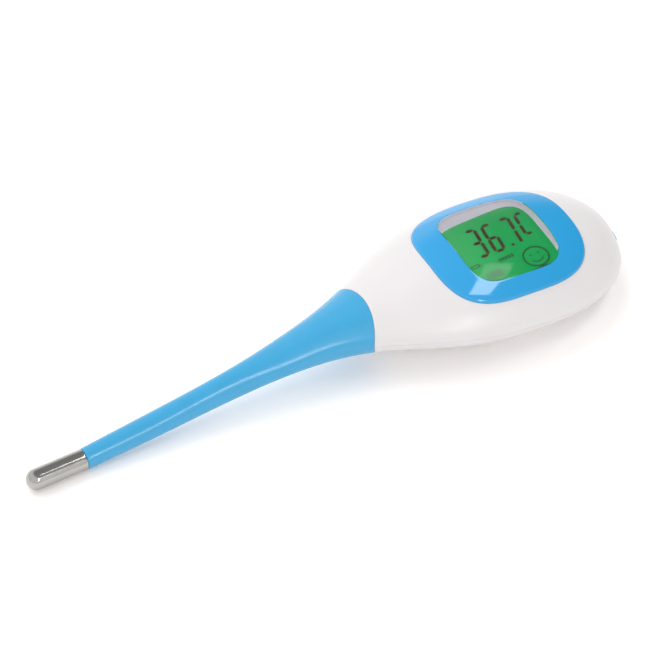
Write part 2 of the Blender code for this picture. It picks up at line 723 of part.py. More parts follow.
def oval_ring(name, centre, radii, minor, axis, look, steps, sides=5):
    """A round seal bent along an oval."""
    x, y, z = centre
    rings = []
    for k in range(steps):
        turn = 2 * math.pi * k / steps
        ring = []
        for j in range(sides):
            side = 2 * math.pi * (j + 0.5) / sides
            a = (radii[0] + minor * math.cos(side)) * math.cos(turn)
            b = (radii[1] + minor * math.cos(side)) * math.sin(turn)
            c = minor * math.sin(side)
            ring.append((x + a, y + b, z + c) if axis == "Z" else (x + c, y + a, z + b))
        rings.append(ring)
    return tube(name, rings, look)


def cover_seal():
    minor, height = COVER_SEAL
    radii = (COVER_RADIUS - minor,) * 2
    oval_ring("cover_seal", (CELL_X, 0, COVER_Z[0] + height), radii, minor, "Z", RUBBER, steps=36)


# ---------------------------------------------------------------- button

def button_ring(x, grow):
    half_y, half_z, power = BUTTON
    points = outline((half_y, half_z, power), 24, (0.0, 0.0), grow)
    return [(x, y, BUTTON_Z + z) for y, z in points]


def power_button():
    end = BUTTON_END_X
    rings = [button_ring(x, BUTTON_FLANGE) for x in BUTTON_FLANGE_X] + [button_ring(BUTTON_FLANGE_X[1], 0.0)]
    rings += [button_ring(end - back, grow) for back, grow in BUTTON_ROUND]
    button = capped("power_button", rings, BLUE)
    radius, root = BUTTON_ROD
    start = SWITCH_X[1] + PLUNGER[2] + GAP
    join(button, rod("button_rod", (0, SWITCH_Z), ((start, radius), (root, radius)), None, 12))


def button_seal():
    front, back = BUTTON_SEAL_X
    outer, inner = BUTTON_SEAL_GROW
    places = ((front, outer), (back, outer), (back, inner), (front, inner))
    rings = [button_ring(x, grow) for x, grow in places]
    tube("button_seal", rings, SILICONE)


# ---------------------------------------------------------------- stem

STEM_STEPS = 16


def stem_ring(x, inset=0.0, shape=None, sweep_neck=0.0):
    """One ring of the stem's skin. shape gives (half width, half height) of an inner oval instead."""
    ring = []
    for k in range(STEM_STEPS):
        angle = 2 * math.pi * k / STEM_STEPS
        at = x - sweep_neck * math.cos(angle) ** 2
        if shape:
            y, z = shape[0] * math.cos(angle), centre_z(at) + shape[1] * math.sin(angle)
            ring.append((at, y, z))
        else:
            ring.append(skin(at, angle, inset))
    return ring


def cone_ring(pivot_x, side, outside):
    """A ring on the shallow cone that lets the stem bend at a pivot, at the skin or at the bore."""
    ring = []
    for k in range(STEM_STEPS):
        angle = 2 * math.pi * k / STEM_STEPS
        x, y, z = skin(pivot_x, angle)
        radius = math.hypot(y, z - centre_z(pivot_x)) if outside else LUMEN
        at = pivot_x + side * (GAP / 2 + radius * NOTCH_SLOPE)
        if outside:
            ring.append(skin(at, angle))
        else:
            ring.append((at, radius * math.cos(angle), centre_z(at) + radius * math.sin(angle)))
    return ring


def core_size(x):
    """Half width and half height of the rigid core inside the neck of the stem."""
    if x <= 8.0:
        return half_width(x) - STEM_WALL - GAP, half_height(x) - STEM_WALL - GAP
    return CORE_MOUTH


def stem_neck():
    outer = [cone_ring(REAR_PIVOT_X, 1, outside=True)] + [stem_ring(x) for x in (-13, -8, -4, 0, 3, 6)]
    outer.append(stem_ring(NECK_X - GAP, sweep_neck=NECK_SWEEP))
    inner = []
    for x in (6.6, 4, 0, -4, -8, CORE_FRONT_X - GAP):
        width, height = core_size(x)
        inner.append(stem_ring(x, shape=(width + GAP, height + GAP)))
    mouth = tuple(half + GAP for half in CORE_MOUTH)
    inner.insert(0, stem_ring(NECK_X - GAP, shape=mouth, sweep_neck=NECK_SWEEP))
    inner.append(stem_ring(CORE_FRONT_X - GAP, shape=(LUMEN, LUMEN)))
    inner.append(cone_ring(REAR_PIVOT_X, 1, outside=False))
    tube("stem_neck", outer + inner, SKY)


def stem_mid():
    outer = [cone_ring(FRONT_PIVOT_X, 1, outside=True)] + [stem_ring(x) for x in (-32, -27, -22)]
    outer.append(cone_ring(REAR_PIVOT_X, -1, outside=True))
    inner = [cone_ring(REAR_PIVOT_X, -1, outside=False), stem_ring(-27, shape=(LUMEN, LUMEN)),
             cone_ring(FRONT_PIVOT_X, 1, outside=False)]
    tube("stem_mid", outer + inner, SKY)


def stem_front():
    shoulder = TIP_END_X + GAP
    spigot = (SPIGOT_RADIUS, SPIGOT_RADIUS)
    outer = [stem_ring(SPIGOT_X, shape=spigot), stem_ring(shoulder, shape=spigot)]
    outer += [stem_ring(x) for x in (shoulder, -52, -47, -42)]
    outer.append(cone_ring(FRONT_PIVOT_X, -1, outside=True))
    inner = [cone_ring(FRONT_PIVOT_X, -1, outside=False)]
    inner += [stem_ring(x, shape=(LUMEN, LUMEN)) for x in (-42, -49, -56, SPIGOT_X)]
    tube("stem_front", outer + inner, SKY)


def stem_core():
    front = [stem_ring(x, shape=core_size(x)) for x in (CORE_FRONT_X, -8, -4, 0, 4, 7)]
    near, far = CORE_FLANGE_X
    places = ((9.4, CORE_MOUTH), (near, CORE_MOUTH), (near, CORE_FLANGE), (far, CORE_FLANGE),
              (far, CORE_PLUG), (CORE_REAR_X, CORE_PLUG))
    rear = [stem_ring(x, shape=size) for x, size in places]
    bore = [stem_ring(x, shape=size) for x, size in CORE_BORE]
    tube("stem_core", front + rear + bore, FILM)


def neck_seal():
    centre = (NECK_SEAL_X, 0, centre_z(NECK_SEAL_X))
    oval_ring("neck_seal", centre, NECK_SEAL[:2], NECK_SEAL[2], "X", RUBBER, steps=28)


def wire_path(side):
    """Along the middle of the stem, then down to the board."""
    points = []
    start, end = TIP_X + WIRE_START, WIRE_END_X
    for k in range(WIRE_STEPS + 1):
        x = start + (end - start) * k / WIRE_STEPS
        lean = min(max((x - WIRE_LEAN_X) / (end - 12.0), 0.0), 1.0)
        lean = lean * lean * (3 - 2 * lean)
        z = centre_z(max(x, STATION_X[0])) * (1 - lean) + (BOARD_Z[1] + WIRE_ABOVE_BOARD) * lean
        z = z if x > STATION_X[0] else TIP_RADIUS
        points.append((x, side * (WIRE_SPREAD + WIRE_FLARE * lean), z))
    return points


def lead_wires():
    sweep("lead_wire_red", wire_path(1), WIRE_RADIUS, RED)
    sweep("lead_wire_black", wire_path(-1), WIRE_RADIUS, BLACK)


# ---------------------------------------------------------------- probe tip

def dome_profile(apex_x, radius, end_x, steps=4):
    """(x, radius) pairs of a round-nosed pin, without its apex."""
    nose = []
    for k in range(1, steps + 1):
        angle = math.pi / 2 * k / steps
        nose.append((apex_x + radius * (1 - math.cos(angle)), radius * math.sin(angle)))
    return nose + [(end_x, radius)]


def metal_tip():
    outside = dome_profile(TIP_X, TIP_RADIUS, TIP_END_X)
    inside = dome_profile(TIP_X + TIP_WALL, TIP_RADIUS - TIP_WALL, TIP_END_X)
    rod("metal_tip", (0, TIP_RADIUS), outside + inside[::-1], STEEL, 16)


def tip_filler():
    inset = TIP_WALL + FILLER_GAP
    end = SPIGOT_X - 1.0
    outside = dome_profile(TIP_X + 0.5, TIP_RADIUS - inset, end)
    pocket = ((end, FILLER_BORE), (TIP_X + 2.4, FILLER_BORE))
    rod("tip_filler", (0, TIP_RADIUS), tuple(outside) + pocket, EPOXY, 14)


def thermistor_bead():
    profile = [(TIP_X + BEAD_START + x, radius) for x, radius in BEAD_PROFILE]
    rod("thermistor_bead", (0, TIP_RADIUS), profile, EPOXY, 12)


# ---------------------------------------------------------------- joints

def pivot(name, place, nodes):
    """An empty on a joint's axis that carries the pieces of the moving body."""
    empty = bpy.data.objects.new(name, None)
    bpy.context.scene.collection.objects.link(empty)
    empty.location = [value * MM for value in place]
    bpy.context.view_layer.update()
    for node in nodes:
        piece = bpy.data.objects[node]
        piece.parent = empty
        piece.matrix_parent_inverse = Matrix.Translation(-empty.location)
    return empty


def build():
    for old in list(bpy.data.objects):
        bpy.data.objects.remove(old)
    makers = (upper_housing, lower_housing, display_bezel, display_lens, lcd_frame, lcd_glass, light_guide,
              reflector_film, backlight_leds, zebra_strip, main_board, board_screws, chip_blob, crystal_can,
              small_parts, tact_switch, buzzer, coin_cell, battery_contacts, battery_cover, cover_seal,
              power_button, button_seal, stem_neck, stem_mid, stem_front, stem_core, neck_seal, lead_wires,
              metal_tip, tip_filler, thermistor_bead)
    for make in makers:
        make()
    pivot("battery_cover_axis", (CELL_X, 0, 0), ("battery_cover", "cover_seal"))
    pivot("power_button_axis", (BUTTON_END_X, 0, BUTTON_Z), ("power_button", "switch_plunger"))
    rear = pivot("stem_sideways_axis", (REAR_PIVOT_X, 0, centre_z(REAR_PIVOT_X)), ("stem_mid",))
    front_nodes = ("stem_front", "metal_tip", "tip_filler", "thermistor_bead")
    front = pivot("stem_up_down_axis", (FRONT_PIVOT_X, 0, centre_z(FRONT_PIVOT_X)), front_nodes)
    front.parent = rear
    front.matrix_parent_inverse = Matrix.Translation(-rear.location)


build()
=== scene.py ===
"""Looks of the digital thermometer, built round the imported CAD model.

X runs along the thermometer from the probe tip at -X to the power button at +X, Y is across and Z is up.
Sizes below are in millimetres and are turned into metres when a mesh is made. The outer surface is the
CAD model's: the same stations and section formulas, at a finer step.
"""

import math

import bmesh
import bpy
import numpy as np
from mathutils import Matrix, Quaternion, Vector


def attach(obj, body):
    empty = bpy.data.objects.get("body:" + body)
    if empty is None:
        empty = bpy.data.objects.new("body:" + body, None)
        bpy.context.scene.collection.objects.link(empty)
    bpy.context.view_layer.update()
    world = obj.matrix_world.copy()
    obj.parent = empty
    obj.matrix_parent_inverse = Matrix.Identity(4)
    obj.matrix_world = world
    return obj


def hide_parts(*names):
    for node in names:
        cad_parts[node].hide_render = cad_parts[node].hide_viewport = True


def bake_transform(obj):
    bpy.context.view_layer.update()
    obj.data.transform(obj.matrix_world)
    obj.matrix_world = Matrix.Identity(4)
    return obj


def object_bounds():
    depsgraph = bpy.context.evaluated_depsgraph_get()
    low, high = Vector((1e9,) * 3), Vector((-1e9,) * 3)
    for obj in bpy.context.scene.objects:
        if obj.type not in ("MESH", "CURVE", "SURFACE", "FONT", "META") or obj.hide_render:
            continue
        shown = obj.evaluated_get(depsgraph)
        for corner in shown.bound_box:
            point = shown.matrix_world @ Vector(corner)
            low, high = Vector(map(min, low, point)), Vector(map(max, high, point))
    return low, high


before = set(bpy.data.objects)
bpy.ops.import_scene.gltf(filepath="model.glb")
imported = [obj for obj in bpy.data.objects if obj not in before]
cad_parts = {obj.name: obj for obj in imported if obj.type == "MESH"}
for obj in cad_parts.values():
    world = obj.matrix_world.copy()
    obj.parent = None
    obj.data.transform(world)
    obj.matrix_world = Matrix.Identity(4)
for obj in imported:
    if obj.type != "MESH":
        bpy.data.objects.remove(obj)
cad_low, cad_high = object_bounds()

MM = 0.001
GAP = 0.3                       # what touching CAD pieces leave between them

# ---- outer shape: stations along X, with half width, half height and height of the widest line ----
STATION_X = (-56.5, -40, -20, -10, 0, 10, 20, 30, 40, 50, 60, 70)
HALF_WIDTH = (2.3, 2.7, 3.2, 4.3, 6.0, 9.6, 14.4, 17.9, 19.3, 19.5, 19.5, 19.5)
HALF_HEIGHT = (2.3, 2.6, 3.2, 3.45, 4.6, 5.7, 7.6, 9.3, 9.55, 8.8, 8.05, 7.4)
CENTRE_Z = (2.3, 4.0, 6.5, 7.85, 9.0, 9.75, 10.0, 9.65, 9.05, 8.25, 7.3, 6.2)
TAIL_X = 70.4
TAIL_WIDTH_START = 45.0
TAIL_WIDTH_POWER = 2.3
TAIL_HEIGHT_START = 50.0
TAIL_HEIGHT_POWER = 2.7
ROUND_STEM_X = -10.0
HEAD_X = 25.0
UPPER_POWERS = (2.0, 1.5)       # powers of the head's section, across and up
LOWER_POWERS = (2.8, 1.45)

# ---- housing ----
WALL = 1.4
NECK_X = 9.75
NECK_SWEEP = 2.25               # the sides of the neck line lie this much nearer the tip than its top
NECK_FADE = 12.0                # the sweep dies out over this length
NECK_RIM = ((0.0, 0.10), (0.10, 0.02))  # the rim's edge: distance behind the neck line, and inset
HOUSING_END_X = 69.2
END_WALL = 1.4
END_START = 0.7                 # after this share of the length the inside draws back from the end
MOUTH_EDGE = ((0.0, 0.35), (0.1, 0.1), (0.35, 0.0), (END_WALL, 0.0))  # depth and growth of the button's hole
SEAM = 0.04                     # the parting line is a hairline on the finished shells
HALF_STEPS = 88                 # faces round half a section
SIDE_CROWDING = 0.11            # above 0 they lie closer together next to the widest line
STATION_STEP = 0.9
TAIL_LENGTH = 14.0
TAIL_STEPS = 40
BOARD_TOP = 8.7                 # top of the main board

# ---- battery compartment ----
CELL_X = 43.0
PAD_RADIUS = 13.1
PAD_EDGE = 0.35
WELL_RADIUS = 11.9
LEDGE_RADIUS = 10.9
LEDGE_EDGE = 0.35
LEDGE_TOP = 1.8
WELL_TOP = 4.6
NOTCH_ANGLE = 45.0
NOTCH_WIDTH = 5.4

# ---- display ----
DISPLAY_X = 42.6
BEZEL = (17.6, 14.9, 3.0)       # half length, half width and corner power of its outline
WINDOW = (11.0, 11.1, 4.0)
OPENING = (16.1, 13.5, 3.0)
OPENING_Z = (9.9, 24.0)
PLATE_STEPS = 160
BEZEL_PROUD = 0.5
BEZEL_SEAT = 0.9
SEAT_ROWS = 8
SEAT_CLEAR = 5.0                # the seat's cutter ends this high above the dome
BEZEL_GAP = 0.02
BEZEL_ROUND = 0.42
BEZEL_UNDER = -0.75             # its underside, from the dome
BEZEL_RELIEF = (1.2, -0.3)      # the underside rises from this far in to this height at the window
WINDOW_ROUND = 0.06
LENS_GAP = 0.015
LENS_THICKNESS = 1.0
LENS_EDGE = 0.03
FRAME_OUTER = (13.2, 13.2, 4.0)
FRAME_INNER = (11.3, 11.5, 4.0)
FRAME_POCKET = (12.3, 12.3, 4.0)
FRAME_STEPS = 120
FIELD = (11.0, 10.3, 4.5)       # the part of the display cell that the frame's lip leaves open
LCD_TOP = 13.1
LCD_THICKNESS = 1.8
LCD_HALF = 11.6
LCD_CHAMFER = 4.0
LCD_BEVEL = 0.06
LOWER_GLASS = 0.9
UPPER_GLASS_INSET = 0.12
GLOW_X = (33.1, 45.6)           # the cell's colour changes between these places

# ---- battery cover ----
COVER_RADIUS = 10.6
COVER_Z = (0.2, 1.5)
COVER_RIM_TOP = 2.9
COVER_RIM_WIDTH = 1.2
COVER_GROOVE = (0.55, 0.35, 0.95)   # depth, and the heights of its two sides above the cover's face
LUG_RADIUS = 11.6
LUG_ROOT = 0.6                  # how far a lug reaches into the rim
LUG_Z = (2.1, 2.9)
LUG_HALF_ANGLE = 13.0
COIN_SLOT = (13.0, 2.0, 0.8)    # length, width and depth

# ---- button ----
BUTTON = (5.6, 2.3, 3.0)        # half width, half height and corner power of its outline
BUTTON_Z = 6.4
BUTTON_ROOM = 0.15
BUTTON_FLANGE = 1.0
BUTTON_FLANGE_X = (66.2, 67.1)
BUTTON_END_X = 70.0
BUTTON_ROUND = (0.8, 0.9)       # along X and across
BUTTON_DISH = 0.02              # fall of the end face for each millimetre in from its edge
BUTTON_ROD_RADIUS = 1.2
BUTTON_ROD_X = (62.4, 66.5)     # from the switch to the flange

# ---- stem and probe ----
STEM_SPLIT_X = -27.0
REAR_BEND = (-12.0, -24.0)      # a span along the stem, given to the rear skin, which does not bend there
FRONT_BEND = (-28.0, -44.0)
STEM_STEPS = 72
SKIN_STEP = 0.75
LUMEN_STEP = 1.0
STEM_WALL = 1.4
LUMEN = 0.95
NECK_GAP = 0.06
STEM_SWEEP_X = (1.5, 7.5)       # the rings take up the neck's sweep between these places
PLUG = (7.5, 3.5)               # half width and half height of the core inside the neck
PLUG_X = 8.0                    # behind this place the core has its full size
CORE_STATIONS = (6.6, 4, 2, 0, -2, -4, -6, -8, -10.5)
CORE_FRONT_X = -13.0
SPIGOT_RADIUS = 1.6
SPIGOT_X = -60.0
TIP_X = -70.0
TIP_END_X = -56.8
TIP_RADIUS = 2.25
TIP_WALL = 0.25
WIRE_RADIUS = 0.2
WIRE_SIDES = 10
WIRE_SPREAD = (0.4, 1.6)        # distance from the middle in the stem and at the board
WIRE_X = (-66.1, 27.5)
WIRE_TURN_X = (8.0, 23.5)       # the wires leave the middle and drop to the board between these places
WIRE_REST = 0.45                # their height above the board
WIRE_STEP = 0.8


# ---------------- curves and outlines

def clamped(x, start, end):
    """0 at start and 1 at end, and no further."""
    return min(max((x - start) / (end - start), 0.0), 1.0)


def eased(x, start, end):
    """0 at start and 1 at end, with a smooth start and a smooth stop."""
    along = clamped(x, start, end)
    return along * along * (3 - 2 * along)


def signed_power(value, power):
    return math.copysign(abs(value) ** power, value)


def quarter(steps):
    """Sine and cosine at even steps of a quarter turn, both ends included."""
    turns = [math.pi / 2 * k / steps for k in range(steps + 1)]
    return [(math.sin(turn), math.cos(turn)) for turn in turns]


def even_places(start, end, step):
    """Evenly spaced places from start to end, about step apart."""
    count = max(int(round(abs(end - start) / step)), 1)
    return [start + (end - start) * k / count for k in range(count + 1)]


def arc(centre, radius, steps, start=0.0, end=2 * math.pi):
    """Points along an arc, both ends included."""
    points = []
    for k in range(steps + 1):
        turn = start + (end - start) * k / steps
        points.append((centre[0] + radius * math.cos(turn), centre[1] + radius * math.sin(turn)))
    return points


def circle(centre, radius, steps):
    return arc(centre, radius, steps)[:-1]


def arc_band(centre, radius, width, steps, start, end):
    """A curved stroke as a closed outline."""
    outside = arc(centre, radius + width / 2, steps, start, end)
    inside = arc(centre, radius - width / 2, steps, start, end)
    return outside + inside[::-1]


def rectangle(x, y, width, height):
    return [(x, y), (x + width, y), (x + width, y + height), (x, y + height)]


def outline(size, steps, grow=0.0, centre=(DISPLAY_X, 0.0)):
    """Points round a rounded square: half length, half width and corner power."""
    half_x, half_y, power = size
    points = []
    for k in range(steps):
        angle = 2 * math.pi * k / steps
        x = (half_x + grow) * signed_power(math.cos(angle), 2 / power)
        y = (half_y + grow) * signed_power(math.sin(angle), 2 / power)
        points.append((centre[0] + x, centre[1] + y))
    return points


def shrunk(points, share):
    """An outline drawn in towards the middle of the display."""
    return [(DISPLAY_X + (x - DISPLAY_X) * share, y * share) for x, y in points]


def between(first, second, share):
    """The outline part of the way from the first outline to the second."""
    return [(a + (c - a) * share, b + (d - b) * share) for (a, b), (c, d) in zip(first, second)]


def flat(points, z):
    return [(x, y, z) for x, y in points]


# ---------------- outer surface

def natural_spline(knots, values):
    """A smooth curve through the given points, as a function."""
    x = np.array(knots, float)
    v = np.array(values, float)
    step = np.diff(x)
    system = np.eye(len(x))
    right = np.zeros(len(x))
    for i in range(1, len(x) - 1):
        system[i, i - 1:i + 2] = step[i - 1], 2 * (step[i - 1] + step[i]), step[i]
        right[i] = 6 * ((v[i + 1] - v[i]) / step[i] - (v[i] - v[i - 1]) / step[i - 1])
    bend = np.linalg.solve(system, right)

    def curve(at):
        i = min(max(int(np.searchsorted(x, at)) - 1, 0), len(x) - 2)
        after, before, span = at - x[i], x[i + 1] - at, step[i]
        cubic = (bend[i] * before ** 3 + bend[i + 1] * after ** 3) / (6 * span)
        near = (v[i] / span - bend[i] * span / 6) * before
        far = (v[i + 1] / span - bend[i + 1] * span / 6) * after
        return float(cubic + near + far)
    return curve


open_width = natural_spline(STATION_X, HALF_WIDTH)
open_height = natural_spline(STATION_X, HALF_HEIGHT)
centre_z = natural_spline(STATION_X, CENTRE_Z)


def closure(x, start, power):
    """1 up to start, falling to 0 at the end of the tail."""
    return (1 - clamped(x, start, TAIL_X) ** power) ** (1 / power)


def half_width(x):
    return open_width(x) * closure(x, TAIL_WIDTH_START, TAIL_WIDTH_POWER)


def half_height(x):
    return open_height(x) * closure(x, TAIL_HEIGHT_START, TAIL_HEIGHT_POWER)


def section_powers(x, head):
    """Powers of the section's curve: a round stem that turns into the flatter head."""
    share = eased(x, ROUND_STEM_X, HEAD_X)
    return tuple(2.0 + (power - 2.0) * share for power in head)


def skin(x, angle, inset=0.0, seam=0.0, floor=None):
    """A point of the outer surface, moved in by inset. The seam pushes it away from the widest line."""
    side = 1 if math.sin(angle) >= 0 else -1
    across, up = section_powers(x, UPPER_POWERS if side > 0 else LOWER_POWERS)
    y = (half_width(x) - inset) * signed_power(math.cos(angle), 2 / across)
    rise = (half_height(x) - inset - seam) * abs(math.sin(angle)) ** (2 / up)
    z = centre_z(x) + side * (seam + rise)
    if floor is not None:
        z = max(z, floor)
    return x, y, z


def dome_z(x, y):
    """Height of the upper surface above a point."""
    across, up = section_powers(x, UPPER_POWERS)
    inside = max(1 - abs(y / half_width(x)) ** across, 0.0)
    return centre_z(x) + half_height(x) * inside ** (1 / up)


def on_dome(points, offset):
    """An outline laid on the upper surface and lifted by offset."""
    return [(x, y, dome_z(x, y) + offset) for x, y in points]


# ---------------- meshes, cuts and pieces

def mesh_from(rings, faces, sharp=35):
    """A mesh from rings of millimetre points, with its faces turned outwards and round stretches smooth."""
    points = [point for ring in rings for point in ring]
    mesh = bpy.data.meshes.new("shape")
    mesh.from_pydata((np.array(points, float) * MM).tolist(), [], faces)
    shape = bmesh.new()
    shape.from_mesh(mesh)
    bmesh.ops.recalc_face_normals(shape, faces=shape.faces)
    shape.to_mesh(mesh)
    shape.free()
    mesh.shade_smooth()
    mesh.set_sharp_from_angle(angle=math.radians(sharp))
    return mesh


def ring_faces(rings, closed, whole=True):
    """Faces between neighbouring rings, and between the last and the first where closed.

    A ring is closed round to its own first point only where it is whole.
    """
    steps = len(rings[0])
    faces = []
    for r in range(len(rings) if closed else len(rings) - 1):
        here, there = r * steps, (r + 1) % len(rings) * steps
        for k in range(steps if whole else steps - 1):
            after = (k + 1) % steps
            faces.append((here + k, here + after, there + after, there + k))
    return faces


def tube_mesh(rings):
    """A ring-shaped solid: the rings go out along the outside and back along the bore."""
    return mesh_from(rings, ring_faces(rings, closed=True))


def capped_mesh(rings, sharp=35):
    """A solid whose first and last rings are closed by flat faces."""
    steps = len(rings[0])
    faces = ring_faces(rings, closed=False)
    faces.append(tuple(range(steps)))
    faces.append(tuple(range((len(rings) - 1) * steps, len(rings) * steps)))
    return mesh_from(rings, faces, sharp)


def disc_mesh(profile):
    """A turned solid about the coin cell's axis, from (radius, z) pairs."""
    return capped_mesh([flat(circle((CELL_X, 0), radius, PLATE_STEPS), z) for radius, z in profile])


def rod_mesh(height, profile, steps=48):
    """A turned solid about an axis along X at a height, from (x, radius) pairs."""
    return capped_mesh([[(x, y, z) for y, z in circle((0, height), radius, steps)] for x, radius in profile])


def prism_mesh(points, z_low, z_high):
    return capped_mesh([flat(points, z_low), flat(points, z_high)])


def loose(name, data):
    """An object in the scene that is no piece yet."""
    data.name = name
    made = bpy.data.objects.new(name, data)
    bpy.context.scene.collection.objects.link(made)
    return made


def boolean(target, tools, operation="DIFFERENCE"):
    """Applies cuts or unions to target and throws the tools away."""
    for tool in tools:
        step = target.modifiers.new(tool.name, "BOOLEAN")
        step.operation = operation
        step.object = tool
        step.solver = "EXACT"
    graph = bpy.context.evaluated_depsgraph_get()
    made = bpy.data.meshes.new_from_object(target.evaluated_get(graph))
    target.modifiers.clear()
    target.data = made
    for tool in tools:
        bpy.data.objects.remove(tool)
    made.shade_smooth()
    made.set_sharp_from_angle(angle=math.radians(35))


def piece(made, look, body, slot, *nodes):
    """A finished piece: its material, the body it rides on and the CAD nodes it stands for. The slot is not
    used.
    """
    made.data.materials.clear()
    made.data.materials.append(look)
    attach(made, body)
    if nodes:
        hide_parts(*nodes)


def flexible(made, look, slot, bodies, span, *nodes):
    """A piece with its material and its CAD nodes hidden, baked where it stands. It does not bend; the bodies
    are not used.
    """
    made.data.materials.append(look)
    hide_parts(*nodes)
    start, end = ((x * MM, 0.0, centre_z(x) * MM) for x in span)
    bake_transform(made)


# ---------------- materials

def set_ramp(node, *values):
    """Sets a Map Range node's ends: from low to high, to out_low and out_high."""
    for socket, value in zip(("From Min", "From Max", "To Min", "To Max"), values):
        node.inputs[socket].default_value = value


class Look:
    """A node material whose shader takes constant values, with helpers for colour variation and bump."""

    def __init__(self, name, colour, **values):
        self.made = bpy.data.materials.new(name)
        self.made.use_nodes = True
        self.nodes = self.made.node_tree.nodes
        self.links = self.made.node_tree.links
        self.shader = self.nodes["Principled BSDF"]
        self.colour = colour
        self.set("Base Color", (*colour, 1.0))
        self.made.diffuse_color = (*colour, 1.0)
        for key, value in values.items():
            self.set(key.replace("_", " "), value)
        self.place = self.nodes.new("ShaderNodeTexCoord").outputs["Object"]

    def set(self, socket, value):
        self.shader.inputs[socket].default_value = value

    def glow(self, colour, strength):
        self.set("Emission Color", (*colour, 1.0))
        self.set("Emission Strength", strength)

    def noise(self, size_mm, detail=2.0, stretch=(1, 1, 1)):
        """Noise whose features are about size_mm across."""
        scaled = self.nodes.new("ShaderNodeMapping")
        scaled.inputs["Scale"].default_value = [1 / (size_mm * MM * part) for part in stretch]
        self.links.new(self.place, scaled.inputs["Vector"])
        made = self.nodes.new("ShaderNodeTexNoise")
        made.inputs["Scale"].default_value = 1.0
        made.inputs["Detail"].default_value = detail
        self.links.new(scaled.outputs["Vector"], made.inputs["Vector"])
        return made.outputs["Fac"]

    def spread(self, value, low, high, out_low=0.0, out_high=1.0):
        """A value between low and high, spread over the range from out_low to out_high."""
        made = self.nodes.new("ShaderNodeMapRange")
        set_ramp(made, low, high, out_low, out_high)
        made.clamp = True
        self.links.new(value, made.inputs["Value"])
        return made.outputs["Result"]

    def along(self, axis, low_mm, high_mm):
        """0 at low_mm and 1 at high_mm along an axis of the object."""
        parts = self.nodes.new("ShaderNodeSeparateXYZ")
        self.links.new(self.place, parts.inputs["Vector"])
        return self.spread(parts.outputs[axis], low_mm * MM, high_mm * MM)

    def mix(self, share, first, second):
        """The first colour where share is 0 and the second where it is 1."""
        made = self.nodes.new("ShaderNodeMix")
        made.data_type = "RGBA"
        self.links.new(share, made.inputs["Factor"])
        for socket, colour in (("A", first), ("B", second)):
            target = [s for s in made.inputs if s.name == socket and s.type == "RGBA"][0]
            target.default_value = (*colour, 1.0)
        return [s for s in made.outputs if s.type == "RGBA"][0]

    def paint(self, colour):
        self.links.new(colour, self.shader.inputs["Base Color"])

    def mottle(self, size_mm, amount):
        """Slight unevenness of the colour."""
        low = tuple(part * (1 - amount) for part in self.colour)
        high = tuple(min(part * (1 + amount), 1.0) for part in self.colour)
        self.paint(self.mix(self.spread(self.noise(size_mm, 3.0), 0.3, 0.7), low, high))

    def sheen_of(self, size_mm, low, high, stretch=(1, 1, 1)):
        """Roughness that varies between low and high."""
        value = self.spread(self.noise(size_mm, 3.0, stretch), 0.3, 0.7, low, high)
        self.links.new(value, self.shader.inputs["Roughness"])

    def bump(self, value, depth_mm, strength):
        made = self.nodes.new("ShaderNodeBump")
        made.inputs["Strength"].default_value = strength
        made.inputs["Distance"].default_value = depth_mm * MM
        self.links.new(value, made.inputs["Height"])
        self.links.new(made.outputs["Normal"], self.shader.inputs["Normal"])


def white_abs():
    look = Look("moulded_white_abs", (0.660, 0.638, 0.644), Roughness=0.31, IOR=1.5)
    look.mottle(9.0, 0.012)
    look.sheen_of(2.5, 0.28, 0.34)
    return look.made


def bezel_gloss():
    """Blue printed behind a glossy face, with a painted reflection that makes it a little paler at the tip
    side.
    """
    look = Look("printed_blue_acrylic", (0.020, 0.30, 0.60), Roughness=0.06, IOR=1.5)
    # Painted reflection: the base colour is paler towards the tip end of the bezel.
    painted_reflection_fade = look.along("X", DISPLAY_X - BEZEL[0], DISPLAY_X + BEZEL[0])
    look.paint(look.mix(painted_reflection_fade, (0.034, 0.315, 0.63), (0.012, 0.285, 0.58)))
    look.sheen_of(1.2, 0.04, 0.085)
    return look.made


def stem_elastomer():
    look = Look("soft_blue_elastomer", (0.047, 0.33, 0.58), Roughness=0.2, IOR=1.47)
    look.mottle(5.0, 0.02)
    look.sheen_of(1.5, 0.17, 0.24)
    return look.made


def window_clear():
    look = Look("clear_acrylic_window", (0.97, 0.985, 0.985), Roughness=0.01, IOR=1.49,
                Transmission_Weight=1.0, Specular_Tint=(0.11, 0.11, 0.11, 1.0))
    return look.made


def lcd_backlit():
    """Green liquid-crystal cell, brighter and yellower towards the backlight at its tip side."""
    look = Look("backlit_green_cell", (0.02, 0.32, 0.11), Roughness=0.25, Specular_IOR_Level=0.12)
    away = look.along("X", *GLOW_X)
    look.paint(look.mix(away, (0.024, 0.13, 0.048), (0.006, 0.10, 0.028)))
    glow = look.mix(away, (0.045, 0.37, 0.105), (0.005, 0.292, 0.066))
    look.links.new(glow, look.shader.inputs["Emission Color"])
    look.set("Emission Strength", 0.9)
    return look.made


def lcd_ink():
    look = Look("dark_segments", (0.065, 0.046, 0.022), Roughness=0.4, Specular_IOR_Level=0.12)
    look.mottle(1.0, 0.08)
    return look.made


def lcd_faint():
    """Strokes that let some of the green backlight through."""
    look = Look("faint_segments", (0.010, 0.040, 0.018), Roughness=0.3, Specular_IOR_Level=0.12)
    look.glow((0.012, 0.08, 0.026), 0.9)
    look.mottle(1.0, 0.06)
    return look.made


def grey_frame():
    """Pale walls beside the cell, with a painted glow that stands in for the light falling on them through
    the window.
    """
    look = Look("display_frame_plastic", (0.50, 0.51, 0.54), Roughness=0.55)
    # Painted light: a lilac glow in place of the light that reaches the walls through the window.
    look.glow((0.78, 0.60, 0.80), 0.36)
    look.mottle(4.0, 0.03)
    look.bump(look.noise(0.3), 0.006, 0.4)
    return look.made


def moulded(name, colour, roughness, size_mm=0.4, amount=0.03):
    look = Look(name, colour, Roughness=roughness)
    look.mottle(size_mm * 8, amount)
    look.bump(look.noise(size_mm), 0.006, 0.4)
    return look.made


